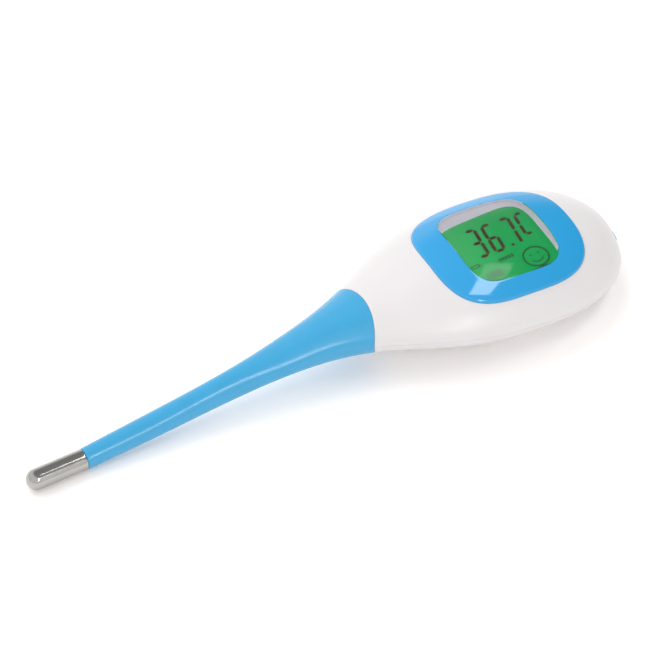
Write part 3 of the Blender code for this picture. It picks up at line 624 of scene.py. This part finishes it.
def metal(name, colour, roughness, stretch, grain_mm=0.12):
    look = Look(name, colour, Roughness=roughness, Metallic=1.0)
    look.mottle(3.0, 0.03)
    look.sheen_of(grain_mm, roughness * 0.8, roughness * 1.3, stretch)
    look.bump(look.noise(grain_mm, stretch=stretch), 0.002, 0.4)
    return look.made


def probe_steel():
    look = Look("polished_probe_steel", (0.44, 0.435, 0.415), Roughness=0.14, Metallic=1.0)
    look.mottle(1.5, 0.03)
    look.sheen_of(0.8, 0.12, 0.17, (3, 1, 1))
    return look.made


def circuit_board():
    """Solder mask with paler copper tracks under it."""
    look = Look("solder_mask_green", (0.015, 0.16, 0.06), Roughness=0.3)
    tracks = look.nodes.new("ShaderNodeTexBrick")
    tracks.inputs["Scale"].default_value = 1 / (3.2 * MM)
    tracks.inputs["Mortar Size"].default_value = 0.03
    tracks.inputs["Color1"].default_value = (0.012, 0.13, 0.05, 1)
    tracks.inputs["Color2"].default_value = (0.02, 0.17, 0.06, 1)
    tracks.inputs["Mortar"].default_value = (0.06, 0.33, 0.12, 1)
    look.links.new(look.place, tracks.inputs["Vector"])
    look.paint(tracks.outputs["Color"])
    look.bump(look.noise(0.5), 0.004, 0.3)
    return look.made


WHITE = white_abs()
BLUE = bezel_gloss()
SKY = stem_elastomer()
CLEAR = window_clear()
GREEN = lcd_backlit()
INK = lcd_ink()
FAINT = lcd_faint()
GREY = grey_frame()
FILM = moulded("white_inner_plastic", (0.80, 0.80, 0.79), 0.45)
RUBBER = moulded("black_seal_rubber", (0.03, 0.03, 0.032), 0.75, 0.3, 0.1)
SILICONE = moulded("pale_silicone", (0.6, 0.6, 0.62), 0.6)
EPOXY = moulded("potting_epoxy", (0.02, 0.02, 0.022), 0.25, 1.2, 0.15)
BLACK = moulded("black_moulding", (0.022, 0.022, 0.024), 0.45, 0.3, 0.1)
RED = moulded("red_insulation", (0.55, 0.03, 0.02), 0.42)
BLACK_WIRE = moulded("black_insulation", (0.02, 0.02, 0.021), 0.42)
TAN = moulded("capacitor_ceramic", (0.5, 0.35, 0.18), 0.55, 0.2, 0.08)
CERAMIC = moulded("piezo_ceramic", (0.78, 0.76, 0.68), 0.5, 0.2, 0.04)
BOARD = circuit_board()
BRASS = metal("brushed_brass", (0.75, 0.55, 0.2), 0.3, (1, 8, 8))
STEEL = metal("drawn_stainless_steel", (0.56, 0.555, 0.53), 0.2, (0.5, 14, 14), 0.05)
PROBE = probe_steel()
NICKEL = metal("nickel_plate", (0.65, 0.64, 0.6), 0.28, (6, 1, 1))


# ---------------- housing shells

def section_angles(upper):
    """Angles round half a section, closer together next to the widest line."""
    turn = math.pi if upper else -math.pi
    angles = []
    for k in range(HALF_STEPS + 1):
        even = k / HALF_STEPS
        angles.append(turn * (even - SIDE_CROWDING * math.sin(2 * math.pi * even) / math.pi))
    return angles


def shell_places():
    """Distances behind the neck line: fine at the neck, then even, then fine again round the tail."""
    span = HOUSING_END_X - NECK_X
    neck = [0.0, 0.15, 0.5]
    middle = [1.0 + STATION_STEP * k for k in range(int((span - TAIL_LENGTH) / STATION_STEP))]
    start = middle[-1] + 0.6
    tail = [start + (span - start) * sine for sine, _ in quarter(TAIL_STEPS)[1:]]
    return neck + middle + tail


def shell_ring(place, angles, inset=0.0, back=0.0, floor=0.0):
    """Half a section at a place behind the neck line, which it follows less and less with distance."""
    ring = []
    for angle in angles:
        sweep = NECK_SWEEP * math.cos(angle) ** 2 * max(1 - place / NECK_FADE, 0.0)
        ring.append(skin(NECK_X + place - sweep - back, angle, inset, SEAM / 2, floor))
    return ring


def mouth_ring(x, grow, angles, upper):
    """Half of the hole that the button stands in."""
    half_y, half_z, power = BUTTON
    ring = []
    for angle in angles:
        y = (half_y + BUTTON_ROOM + grow) * signed_power(math.cos(angle), 2 / power)
        rise = (half_z + BUTTON_ROOM + grow) * abs(math.sin(angle)) ** (2 / power)
        ring.append((x, y, centre_z(x) + (1 if upper else -1) * max(rise, SEAM / 2)))
    return ring


def housing_half(name, upper):
    """A hollow half of the housing: along the outside, in at the button's mouth and back along the inside."""
    angles = section_angles(upper)
    outer, inner = [], []
    places = shell_places()
    for place in places:
        back = END_WALL * max(place / places[-1] - END_START, 0.0) / (1 - END_START)
        outer.append(shell_ring(place, angles))
        inner.append(shell_ring(place, angles, WALL, back, WALL))
    for number, (place, inset) in enumerate(NECK_RIM):
        outer[number] = shell_ring(place, angles, inset)
    mouth = [mouth_ring(HOUSING_END_X - depth, grow, angles, upper) for depth, grow in MOUTH_EDGE]
    rings = outer + mouth + inner[::-1]
    faces = ring_faces(rings, closed=True, whole=False)
    count, steps = len(rings), HALF_STEPS + 1
    last = len(outer) - 1
    for k in (0, HALF_STEPS):
        for r in range(last):
            faces.append(tuple(i * steps + k for i in (r, r + 1, count - 2 - r, count - 1 - r)))
        faces.append(tuple((last + i) * steps + k for i in range(len(mouth) + 2)))
    return loose(name, mesh_from(rings, faces))


def seat_cutter():
    """Cuts the bezel's seat: a plate that follows the dome."""
    rim = outline(BEZEL, PLATE_STEPS)
    hub = shrunk(rim, 0.05)
    plans = [between(rim, hub, r / SEAT_ROWS) for r in range(SEAT_ROWS + 1)]
    rings = [on_dome(plan, -BEZEL_SEAT) for plan in plans[::-1]]
    rings += [on_dome(plan, SEAT_CLEAR) for plan in plans]
    return loose("bezel_seat_cutter", capped_mesh(rings))


def upper_shell():
    shell = housing_half("upper_shell", upper=True)
    opening = loose("display_opening_cutter", prism_mesh(outline(OPENING, FRAME_STEPS), *OPENING_Z))
    boolean(shell, [seat_cutter(), opening])
    piece(shell, WHITE, "housing", "housing_white", "upper_housing")


def lower_shell():
    """The lower shell, with the round battery pad under it, its bore and the notches for the lugs."""
    shell = housing_half("lower_shell", upper=False)
    profile = [(PAD_RADIUS - PAD_EDGE + PAD_EDGE * sine, PAD_EDGE - PAD_EDGE * cosine)
               for sine, cosine in quarter(5)]
    pad = loose("battery_pad", disc_mesh(profile + [(PAD_RADIUS, WELL_TOP)]))
    boolean(shell, [pad], "UNION")
    bore = [(LEDGE_RADIUS + LEDGE_EDGE, -1.0), (LEDGE_RADIUS + LEDGE_EDGE, -0.01), (LEDGE_RADIUS + 0.1, 0.1),
            (LEDGE_RADIUS, LEDGE_EDGE), (LEDGE_RADIUS, LEDGE_TOP), (WELL_RADIUS, LEDGE_TOP),
            (WELL_RADIUS, WELL_TOP + 1)]
    well = loose("battery_bore_cutter", disc_mesh(bore))
    reach = WELL_RADIUS - 0.1
    bar = rectangle(-reach, -NOTCH_WIDTH / 2, 2 * reach, NOTCH_WIDTH)
    notch = loose("notch_cutter", prism_mesh(bar, -1.0, LEDGE_TOP + 0.1))
    notch.location = (CELL_X * MM, 0, 0)
    notch.rotation_euler = (0, 0, math.radians(-NOTCH_ANGLE))
    bpy.context.view_layer.update()
    boolean(shell, [well, notch])
    piece(shell, WHITE, "housing", "housing_white", "lower_housing")


# ---------------- display

def bezel():
    """The glossy surround, with a rounded outer edge and a fine inner edge at the window."""
    def ring(size, grow, offset):
        return on_dome(outline(size, PLATE_STEPS, grow), offset)
    outside = []
    for sine, cosine in quarter(6):
        inset = BEZEL_GAP + BEZEL_ROUND * (1 - cosine)
        outside.append(ring(BEZEL, -inset, BEZEL_PROUD - BEZEL_ROUND * (1 - sine)))
    inside = []
    for sine, cosine in quarter(4):
        inside.append(ring(WINDOW, WINDOW_ROUND * (1 - sine), BEZEL_PROUD - WINDOW_ROUND * (1 - cosine)))
    start = outline(BEZEL, PLATE_STEPS, -BEZEL_GAP - BEZEL_ROUND)
    end = outline(WINDOW, PLATE_STEPS, WINDOW_ROUND)
    top = [on_dome(between(start, end, r / 12), BEZEL_PROUD) for r in range(1, 12)]
    relief, at_window = BEZEL_RELIEF
    under = [ring(WINDOW, 0.0, at_window), ring(BEZEL, -relief, BEZEL_UNDER)]
    rings = [ring(BEZEL, -BEZEL_GAP, BEZEL_UNDER)] + outside + top + inside + under
    piece(loose("bezel", tube_mesh(rings)), BLUE, "housing", "bezel_blue", "display_bezel")


def window_lens():
    """The clear window, flush with the bezel."""
    rim = outline(WINDOW, PLATE_STEPS, -LENS_GAP)
    shares = (1.0, 0.97, 0.9, 0.8, 0.68, 0.55, 0.4, 0.25, 0.1, 0.02)
    rings = [on_dome(shrunk(rim, share), BEZEL_PROUD - LENS_THICKNESS) for share in shares[::-1]]
    rings.append(on_dome(rim, BEZEL_PROUD - LENS_EDGE))
    rings.append(on_dome(shrunk(rim, 1 - LENS_EDGE / WINDOW[0]), BEZEL_PROUD))
    rings += [on_dome(shrunk(rim, share), BEZEL_PROUD) for share in shares[1:]]
    piece(loose("window_lens", capped_mesh(rings)), CLEAR, "housing", "window_clear", "display_lens")


def display_frame():
    """The frame round the display cell, with walls that rise to the window."""
    low, lip = BOARD_TOP + GAP, LCD_TOP + GAP / 2

    def level(size, z, grow=0.0):
        return flat(outline(size, FRAME_STEPS, grow), z)

    def under_dome(size, grow, drop):
        return on_dome(outline(size, FRAME_STEPS, grow), -drop)
    outside = [level(FRAME_OUTER, low), under_dome(FRAME_OUTER, 0.0, 0.85),
               under_dome(FRAME_OUTER, -0.2, 0.65)]
    inside = [under_dome(FRAME_INNER, 0.25, 0.65), under_dome(FRAME_INNER, 0.05, 0.75),
              under_dome(FRAME_INNER, 0.0, 0.95)]
    ledge = [level(FIELD, lip + 0.25, 0.1), level(FIELD, lip + 0.1), level(FIELD, lip, 0.05)]
    pocket = [level(FRAME_POCKET, lip), level(FRAME_POCKET, low)]
    made = loose("display_frame", tube_mesh(outside + inside + ledge + pocket))
    piece(made, GREY, "housing", "inner_grey", "lcd_frame")


def display_cell():
    """The liquid-crystal cell: lower glass, upper glass set back from it, and a bevel on each."""
    top, low = LCD_TOP, LCD_TOP - LCD_THICKNESS
    step = low + LOWER_GLASS

    def ring(inset, z):
        far, near = LCD_HALF - inset, LCD_HALF - inset - LCD_CHAMFER
        corners = ((far, near), (near, far), (-near, far), (-far, near),
                   (-far, -near), (-near, -far), (near, -far), (far, -near))
        return [(DISPLAY_X + x, y, z) for x, y in corners]
    rings = [ring(LCD_BEVEL, low), ring(0.0, low + LCD_BEVEL), ring(0.0, step - 0.05), ring(0.04, step),
             ring(UPPER_GLASS_INSET, step + 0.02), ring(UPPER_GLASS_INSET, top - LCD_BEVEL),
             ring(UPPER_GLASS_INSET + LCD_BEVEL, top)]
    piece(loose("display_cell", capped_mesh(rings, 20)), GREEN, "housing", "lcd_green", "lcd_glass")


# ---------------- what the display shows

# The reading: digits of seven strokes, leaning a little, and turned slightly in the window.
INK_Z = (LCD_TOP + 0.01, LCD_TOP + 0.035)
DIGIT = (2.0, 7.7)              # width and height between stroke centres
DIGIT_PLACES = (("3", -6.6), ("6", -2.85), ("7", 1.4))
STROKE = 0.78
STROKE_SHORT = 0.08             # how far a stroke stops short of the corner
UNIT = (1.65, 6.0)
UNIT_PLACE = 5.1
POINT_PLACE = (1.3, -3.55)
POINT_RADIUS = 0.38
FIGURE = (0.9, 1.75)
FIGURE_PLACE = (-8.3, -10.35)
FIGURE_STEP = 1.6
FIGURE_STROKE = 0.32
LEAN = 0.045
READING_TURN = math.radians(-3.5)
READING_CENTRE = (45.3, 3.45)
# Each stroke runs between two corners or side middles of its sign.
SEGMENTS = {"a": ((0, 1), (1, 1)), "b": ((1, 1), (1, 0.5)), "c": ((1, 0.5), (1, 0)), "d": ((0, 0), (1, 0)),
            "e": ((0, 0.5), (0, 0)), "f": ((0, 1), (0, 0.5)), "g": ((0, 0.5), (1, 0.5))}
GLYPHS = {"1": "bc", "3": "abcdg", "6": "acdefg", "7": "abc", "8": "abcdefg", "C": "adef"}

# The signs below the reading.
FACE_CENTRE = (48.7, -5.45)
FACE_RADIUS = 2.75
FACE_LINE = 0.40
EYE_PLACE = (0.95, 0.75)
EYE_RADIUS = 0.26
MOUTH_RADIUS = 1.5
MOUTH_LINE = 0.28
MOUTH_ENDS = (math.radians(205), math.radians(335))
BAR_PLACE = (41.2, -3.15)
BAR = (0.5, 0.94)
BAR_STEP = 0.75
BAR_FALL = 0.04                 # the right side of a bar is this much lower
BAR_Z = (LCD_TOP + 0.006, LCD_TOP + 0.02)
CELL_SIGN_PLACE = (35.0, -2.25)
CELL_SIGN = (1.9, 0.85)
CELL_SIGN_LINE = 0.15
CELL_SIGN_POLE = (0.22, 0.31)


def on_display(u, v):
    """A point of the reading, in its own millimetres, placed in the window."""
    u += LEAN * v
    c, s = math.cos(READING_TURN), math.sin(READING_TURN)
    return READING_CENTRE[0] + c * u - s * v, READING_CENTRE[1] + s * u + c * v


def bar_points(start, end, width):
    """A stroke with pointed ends between two points."""
    a, b = Vector(start), Vector(end)
    along = (b - a).normalized()
    across = Vector((-along.y, along.x)) * width / 2
    a, b = a + along * STROKE_SHORT, b - along * STROKE_SHORT
    tip = along * width / 2
    return [a, a + tip + across, b - tip + across, b, b - tip - across, a + tip - across]


def glyph(sign, corner, size, width):
    """Outlines of the strokes of one sign whose lower left stroke corner is at corner."""
    shapes = []
    for stroke in GLYPHS[sign]:
        (u0, v0), (u1, v1) = SEGMENTS[stroke]
        start = (corner[0] + u0 * size[0], corner[1] + v0 * size[1])
        end = (corner[0] + u1 * size[0], corner[1] + v1 * size[1])
        shapes.append([on_display(*point) for point in bar_points(start, end, width)])
    return shapes


def ink(name, outlines, look, heights=INK_Z):
    """Thin printed shapes on the cell, as one piece of separate plates."""
    points, faces = [], []
    for shape in outlines:
        base, count = len(points), len(shape)
        for z in heights:
            points += flat(shape, z)
        faces.append(tuple(base + k for k in range(count)))
        faces.append(tuple(base + count + k for k in range(count)))
        for k in range(count):
            after = (k + 1) % count
            faces.append((base + k, base + after, base + count + after, base + count + k))
    piece(loose(name, mesh_from([points], faces)), look, "housing", "lcd_green")


def reading():
    height = DIGIT[1]
    shapes = []
    for sign, left in DIGIT_PLACES:
        shapes += glyph(sign, (left, -height / 2), DIGIT, STROKE)
    ink("reading_digits", shapes, INK)
    ink("reading_unit", glyph("C", (UNIT_PLACE, height / 2 - UNIT[1]), UNIT, STROKE), INK)
    ink("reading_point", [[on_display(u, v) for u, v in circle(POINT_PLACE, POINT_RADIUS, 20)]], INK)


def face_sign():
    """A plain ring with two dots and an arc, the sign for a normal reading."""
    halves = ((0.0, math.pi), (math.pi, 2 * math.pi))
    ink("face_ring", [arc_band(FACE_CENTRE, FACE_RADIUS, FACE_LINE, 40, *ends) for ends in halves], FAINT)
    shapes = []
    for side in (-1, 1):
        eye = (FACE_CENTRE[0] + side * EYE_PLACE[0], FACE_CENTRE[1] + EYE_PLACE[1])
        shapes.append(circle(eye, EYE_RADIUS, 16))
    shapes.append(arc_band(FACE_CENTRE, MOUTH_RADIUS, MOUTH_LINE, 16, *MOUTH_ENDS))
    ink("face_sign", shapes, FAINT)


def bar_scale():
    width, height = BAR
    low = BAR_PLACE[1]
    shapes = []
    for k in range(5):
        x = BAR_PLACE[0] + BAR_STEP * k
        shapes.append([(x, low), (x + width, low - BAR_FALL), (x + width, low - BAR_FALL + height),
                       (x, low + height)])
    ink("bar_scale", shapes, FAINT, BAR_Z)


def cell_sign():
    """The outline of a cell with its pole."""
    x, y = CELL_SIGN_PLACE
    width, height = CELL_SIGN
    line = CELL_SIGN_LINE
    pole, pole_height = CELL_SIGN_POLE
    inner = height - 2 * line
    ink("cell_sign", [rectangle(x, y, width, line), rectangle(x, y + height - line, width, line),
                      rectangle(x, y + line, line, inner), rectangle(x + width - line, y + line, line, inner),
                      rectangle(x + width, y + (height - pole_height) / 2, pole, pole_height)], INK)


def small_figures():
    shapes = []
    for number, sign in enumerate("188"):
        corner = (FIGURE_PLACE[0] + FIGURE_STEP * number, FIGURE_PLACE[1])
        shapes += glyph(sign, corner, FIGURE, FIGURE_STROKE)
    ink("small_figures", shapes, INK)


# ---------------- battery cover

def cover():
    """The round cover with a groove for its seal, two lugs and a slot for a coin."""
    low, high = COVER_Z
    edge = COVER_RADIUS
    depth, groove_low, groove_high = COVER_GROOVE
    face = [(edge - 0.45, low), (edge - 0.2, low + 0.06), (edge - 0.05, low + 0.2)]
    groove = [(edge, low + groove_low), (edge - depth, low + groove_low), (edge - depth, low + groove_high),
              (edge, low + groove_high)]
    rim = [(edge, COVER_RIM_TOP - 0.1), (edge - 0.1, COVER_RIM_TOP), (edge - COVER_RIM_WIDTH, COVER_RIM_TOP),
           (edge - COVER_RIM_WIDTH, high)]
    made = loose("coin_cover", disc_mesh(face + groove + rim))
    hub = (CELL_X, 0)
    half = math.radians(LUG_HALF_ANGLE)
    lugs = []
    for number, turn in enumerate((0.0, math.pi), 1):
        ends = (turn - half, turn + half)
        points = arc(hub, LUG_RADIUS, 12, *ends) + arc(hub, COVER_RADIUS - LUG_ROOT, 12, *ends)[::-1]
        lugs.append(loose(f"cover_lug_{number}", prism_mesh(points, *LUG_Z)))
    boolean(made, lugs, "UNION")
    length, width, depth = COIN_SLOT
    reach = (length - width) / 2
    points = arc((CELL_X + reach, 0), width / 2, 12, -math.pi / 2, math.pi / 2)
    points += arc((CELL_X - reach, 0), width / 2, 12, math.pi / 2, 3 * math.pi / 2)
    boolean(made, [loose("coin_slot_cutter", prism_mesh(points, low - 1.0, low + depth))])
    piece(made, WHITE, "battery_cover", "housing_white", "battery_cover")


# ---------------- button

def button():
    """The button: a flange inside the housing, a rounded end outside it and a rod to the switch."""
    def ring(x, grow):
        return [(x, y, BUTTON_Z + z) for y, z in outline(BUTTON, 72, grow, (0.0, 0.0))]
    flange_low, flange_high = BUTTON_FLANGE_X
    rings = [ring(flange_low, BUTTON_FLANGE), ring(flange_high, BUTTON_FLANGE), ring(flange_high, 0.0)]
    along, across = BUTTON_ROUND
    for sine, cosine in quarter(8):
        rings.append(ring(BUTTON_END_X - along + along * sine, -across * (1 - cosine)))
    for inset in (1.2, 1.6, 2.0):
        rings.append(ring(BUTTON_END_X - BUTTON_DISH * inset, -inset))
    made = loose("button_cap", capped_mesh(rings))
    rod = loose("button_rod", rod_mesh(BUTTON_Z, [(x, BUTTON_ROD_RADIUS) for x in BUTTON_ROD_X]))
    boolean(made, [rod], "UNION")
    piece(made, BLUE, "power_button", "bezel_blue", "power_button")


# ---------------- stem

def stem_ring(x, oval=None, sweep=0.0, inset=0.0):
    """One ring of the stem's skin, or of an inner oval given by its half width and half height."""
    ring = []
    for k in range(STEM_STEPS):
        angle = 2 * math.pi * k / STEM_STEPS
        at = x - sweep * math.cos(angle) ** 2
        if oval:
            ring.append((at, oval[0] * math.cos(angle), centre_z(at) + oval[1] * math.sin(angle)))
        else:
            ring.append(skin(at, angle, inset))
    return ring


def core_room(x):
    """Half width and half height of the space for the rigid core, inside the neck of the stem."""
    if x > PLUG_X:
        return PLUG[0] + GAP, PLUG[1] + GAP
    return half_width(x) - STEM_WALL, half_height(x) - STEM_WALL


def stem_rear():
    """The rear length of the soft stem, from the neck to the split, with room for the core inside."""
    lumen = (LUMEN, LUMEN)
    mouth_x = NECK_X - NECK_GAP
    sweep_start = STEM_SWEEP_X[0]
    rings = [stem_ring(x) for x in even_places(STEM_SPLIT_X, sweep_start, SKIN_STEP)]
    for x in even_places(sweep_start, mouth_x - 0.12, 0.6)[1:]:
        rings.append(stem_ring(x, sweep=NECK_SWEEP * clamped(x, *STEM_SWEEP_X)))
    rings.append(stem_ring(mouth_x, sweep=NECK_SWEEP, inset=0.08))
    rings.append(stem_ring(mouth_x, core_room(mouth_x), NECK_SWEEP))
    rings += [stem_ring(x, core_room(x)) for x in (*CORE_STATIONS, CORE_FRONT_X - GAP)]
    rings += [stem_ring(x, lumen) for x in even_places(CORE_FRONT_X - GAP - 0.1, STEM_SPLIT_X, LUMEN_STEP)]
    made = loose("stem_rear_skin", tube_mesh(rings))
    flexible(made, SKY, "stem_blue", ("housing", "stem_mid"), REAR_BEND, "stem_neck", "stem_mid")


def stem_front():
    """The front length of the soft stem, from the split to the spigot inside the probe cap."""
    lumen, spigot = (LUMEN, LUMEN), (SPIGOT_RADIUS, SPIGOT_RADIUS)
    shoulder = TIP_END_X + 0.05
    rings = [stem_ring(SPIGOT_X, spigot), stem_ring(shoulder, spigot)]
    rings += [stem_ring(shoulder, inset=0.12), stem_ring(shoulder + 0.05, inset=0.03)]
    rings += [stem_ring(x) for x in even_places(shoulder + 0.15, STEM_SPLIT_X, SKIN_STEP)]
    rings += [stem_ring(x, lumen) for x in even_places(STEM_SPLIT_X, SPIGOT_X, LUMEN_STEP)]
    made = loose("stem_front_skin", tube_mesh(rings))
    flexible(made, SKY, "stem_blue", ("stem_mid", "stem_front"), FRONT_BEND, "stem_mid", "stem_front")


def sweep_mesh(path, radius):
    """A round bar along a path of points, closed at both ends."""
    path = [np.array(point, float) for point in path]
    turns = [2 * math.pi * k / WIRE_SIDES for k in range(WIRE_SIDES)]
    side = np.array((0.0, 1.0, 0.0))
    rings = []
    for i, point in enumerate(path):
        ahead = path[min(i + 1, len(path) - 1)] - path[max(i - 1, 0)]
        ahead /= np.linalg.norm(ahead)
        side = side - ahead * side.dot(ahead)
        side /= np.linalg.norm(side)
        other = np.cross(ahead, side)
        rings.append([tuple(point + radius * (math.cos(t) * side + math.sin(t) * other)) for t in turns])
    return capped_mesh(rings)


def wire_point(x, side):
    """Along the middle of the probe and the stem, then down to the board."""
    inside, outside = WIRE_SPREAD
    share = eased(x, *WIRE_TURN_X)
    middle = centre_z(x) if x > STATION_X[0] else TIP_RADIUS
    z = middle * (1 - share) + (BOARD_TOP + WIRE_REST) * share
    return x, side * (inside + (outside - inside) * share), z


def lead_wires():
    """A red and a black wire, each in a front and a rear length that meet where the skin is split."""
    wires = (("red", 1, RED, "red_plastic"), ("black", -1, BLACK_WIRE, "black_plastic"))
    lengths = (("front", WIRE_X[0], STEM_SPLIT_X, ("stem_mid", "stem_front"), FRONT_BEND),
               ("rear", STEM_SPLIT_X, WIRE_X[1], ("housing", "stem_mid"), REAR_BEND))
    for colour, side, look, slot in wires:
        for part, first, last, bodies, span in lengths:
            path = [wire_point(x, side) for x in even_places(first, last, WIRE_STEP)]
            made = loose(f"wire_{colour}_{part}", sweep_mesh(path, WIRE_RADIUS))
            flexible(made, look, slot, bodies, span, f"lead_wire_{colour}")


# ---------------- probe

def probe_cap():
    """The drawn steel cap: rounded nose, thin wall and a turned-in rim at the stem."""
    def nose(apex, radius, steps):
        return [(apex + radius * (1 - cosine), radius * sine) for sine, cosine in quarter(steps)[1:]]
    outside = nose(TIP_X, TIP_RADIUS, 18)
    outside += [(x, TIP_RADIUS) for x in even_places(TIP_X + TIP_RADIUS + 0.6, TIP_END_X - 0.3, 0.6)]
    outside += [(TIP_END_X - 0.08, TIP_RADIUS - 0.015), (TIP_END_X, TIP_RADIUS - 0.07)]
    inside = nose(TIP_X + TIP_WALL, TIP_RADIUS - TIP_WALL, 10) + [(TIP_END_X, TIP_RADIUS - TIP_WALL)]
    made = loose("probe_cap", rod_mesh(TIP_RADIUS, outside + inside[::-1], 96))
    piece(made, PROBE, "stem_front", "steel", "metal_tip")


# ---------------- CAD nodes that stay

def numbered(name, count):
    return [f"{name}_{number}" for number in range(1, count + 1)]


# Material, slot and the nodes that take them.
CARRIED = (
    (FILM, "inner_white", ["light_guide", "reflector_film", *numbered("backlight_led", 3), "switch_plunger",
                           "stem_core"]),
    (RUBBER, "seal_rubber", ["zebra_strip", "cover_seal", "neck_seal"]),
    (SILICONE, "seal_silicone", ["button_seal"]),
    (BOARD, "board_green", ["main_board"]),
    (STEEL, "steel", [*numbered("board_screw", 4), *numbered("buzzer_spring", 2)]),
    (NICKEL, "nickel", ["crystal_can", "coin_cell", "battery_contact_minus", "battery_contact_plus"]),
    (EPOXY, "black_epoxy", ["chip_blob", "tip_filler", "thermistor_bead"]),
    (TAN, "capacitor_tan", numbered("capacitor", 2)),
    (BLACK, "black_plastic", ["reference_resistor", "tact_switch_body"]),
    (BRASS, "brass", ["buzzer_plate"]),
    (CERAMIC, "buzzer_white", ["buzzer_ceramic"]),
)


def dress_nodes():
    for look, slot, names in CARRIED:
        for name in names:
            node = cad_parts[name]
            node.data.materials.clear()
            node.data.materials.append(look)


# ---------------- stage, lights and camera

CAMERA_TURN = math.radians(-29.534)
CAMERA_RISE = math.radians(47.492)
CAMERA_FAR = 796.5
CAMERA_LENS = 209.2
AIM_HEIGHT = 5.0
AIM = (0.284, 5.186)            # right and up in the view, from the point AIM_HEIGHT above the origin

# The surround is pale all round except for a dark zone, from the cosine of the angle to its middle.
DARK_MIDDLE = (0.536, 0.181, 0.824)
DARK_EDGE = (0.48, 0.78, 0.98, 0.34)  # cosines where the fade starts and ends, and the levels there

# Each light: azimuth, elevation, roll, distance, width and height, and brightness against a white surface.
LIGHTS = {
    "key_light": (-168, 50, 0, 900, (800, 800), 2.5),
    "strip_light": (75.8, 67.7, -18, 900, (520, 160), 6.8),
    "front_light": (-5, 36, -26, 900, (110, 430), 9.0),
}
NOT_MIRRORED = ("key_light",)   # lights the object but has no mirror image, as behind a diffuser

FLOOR_HALF = 3.0                # in metres
FLOOR_DROP = 0.02               # below the object, in millimetres


def facing(azimuth, elevation):
    """Unit vector from the object towards a viewer at that azimuth and elevation, in radians."""
    level = math.cos(elevation)
    return Vector((math.sin(azimuth) * level, -math.cos(azimuth) * level, math.sin(elevation)))


def aimed(name, data, place, back, roll=0.0):
    """A camera or light at a place, facing against back and turned about its own axis by roll."""
    made = loose(name, data)
    made.location = place
    made.rotation_mode = "QUATERNION"
    made.rotation_quaternion = (-back).to_track_quat("-Z", "Y") @ Quaternion((0, 0, 1), roll)
    return made


def camera():
    back = facing(CAMERA_TURN, CAMERA_RISE)
    right = Vector((math.cos(CAMERA_TURN), math.sin(CAMERA_TURN), 0))
    up = back.cross(right)
    target = (Vector((0, 0, AIM_HEIGHT)) + right * AIM[0] + up * AIM[1]) * MM
    data = bpy.data.cameras.new("camera")
    data.lens = CAMERA_LENS
    data.sensor_width = 36.0
    data.clip_start, data.clip_end = 0.01, 20.0
    bpy.context.scene.camera = aimed("camera", data, target + back * CAMERA_FAR * MM, back)


def soft_light(name, azimuth, elevation, roll, distance, size, brightness):
    """A rectangular light in a direction from the head, facing it. Roll turns it about its own axis."""
    data = bpy.data.lights.new(name, "AREA")
    data.shape = "RECTANGLE"
    data.size, data.size_y = (value * MM for value in size)
    data.energy = brightness * math.pi * data.size * data.size_y
    towards = facing(math.radians(azimuth), math.radians(elevation))
    place = Vector((DISPLAY_X, 0, LCD_TOP)) * MM + towards * distance * MM
    made = aimed(name, data, place, towards, math.radians(roll))
    made.visible_glossy = name not in NOT_MIRRORED


def floor():
    """A pale floor that glows a little, so that it stays even out to the edge of the view."""
    mesh = bpy.data.meshes.new("studio_floor")
    corners = flat(rectangle(-FLOOR_HALF, -FLOOR_HALF, 2 * FLOOR_HALF, 2 * FLOOR_HALF), 0)
    mesh.from_pydata(corners, [], [(0, 1, 2, 3)])
    look = Look("pale_floor", (0.93, 0.905, 0.89), Roughness=0.8, Specular_IOR_Level=0.1)
    look.glow((1.0, 1.0, 1.0), 0.08)
    look.made.cycles.emission_sampling = "NONE"
    mesh.materials.append(look.made)
    made = loose("studio_floor", mesh)
    made.location.z = cad_low.z - FLOOR_DROP * MM


def studio():
    """Soft studio light: a key behind, a strip overhead, a tall box in front and a pale surround."""
    world = bpy.data.worlds.new("studio")
    bpy.context.scene.world = world
    world.use_nodes = True
    nodes, links = world.node_tree.nodes, world.node_tree.links
    direction = nodes.new("ShaderNodeTexCoord").outputs["Generated"]
    closeness = nodes.new("ShaderNodeVectorMath")
    closeness.operation = "DOT_PRODUCT"
    closeness.inputs[1].default_value = DARK_MIDDLE
    links.new(direction, closeness.inputs[0])
    ramp = nodes.new("ShaderNodeMapRange")
    ramp.interpolation_type = "SMOOTHSTEP"
    set_ramp(ramp, *DARK_EDGE)
    links.new(closeness.outputs["Value"], ramp.inputs["Value"])
    links.new(ramp.outputs["Result"], nodes["Background"].inputs["Strength"])
    nodes["Background"].inputs["Color"].default_value = (1, 1, 1, 1)
    for name, values in LIGHTS.items():
        soft_light(name, *values)
    view = bpy.context.scene.view_settings
    view.view_transform = "Standard"
    view.look = "None"
    view.exposure = 0.0
    view.gamma = 1.0


camera()
floor()
studio()
upper_shell()
lower_shell()
bezel()
window_lens()
display_frame()
display_cell()
reading()
face_sign()
bar_scale()
cell_sign()
small_figures()
cover()
button()
stem_rear()
stem_front()
lead_wires()
probe_cap()
dress_nodes()
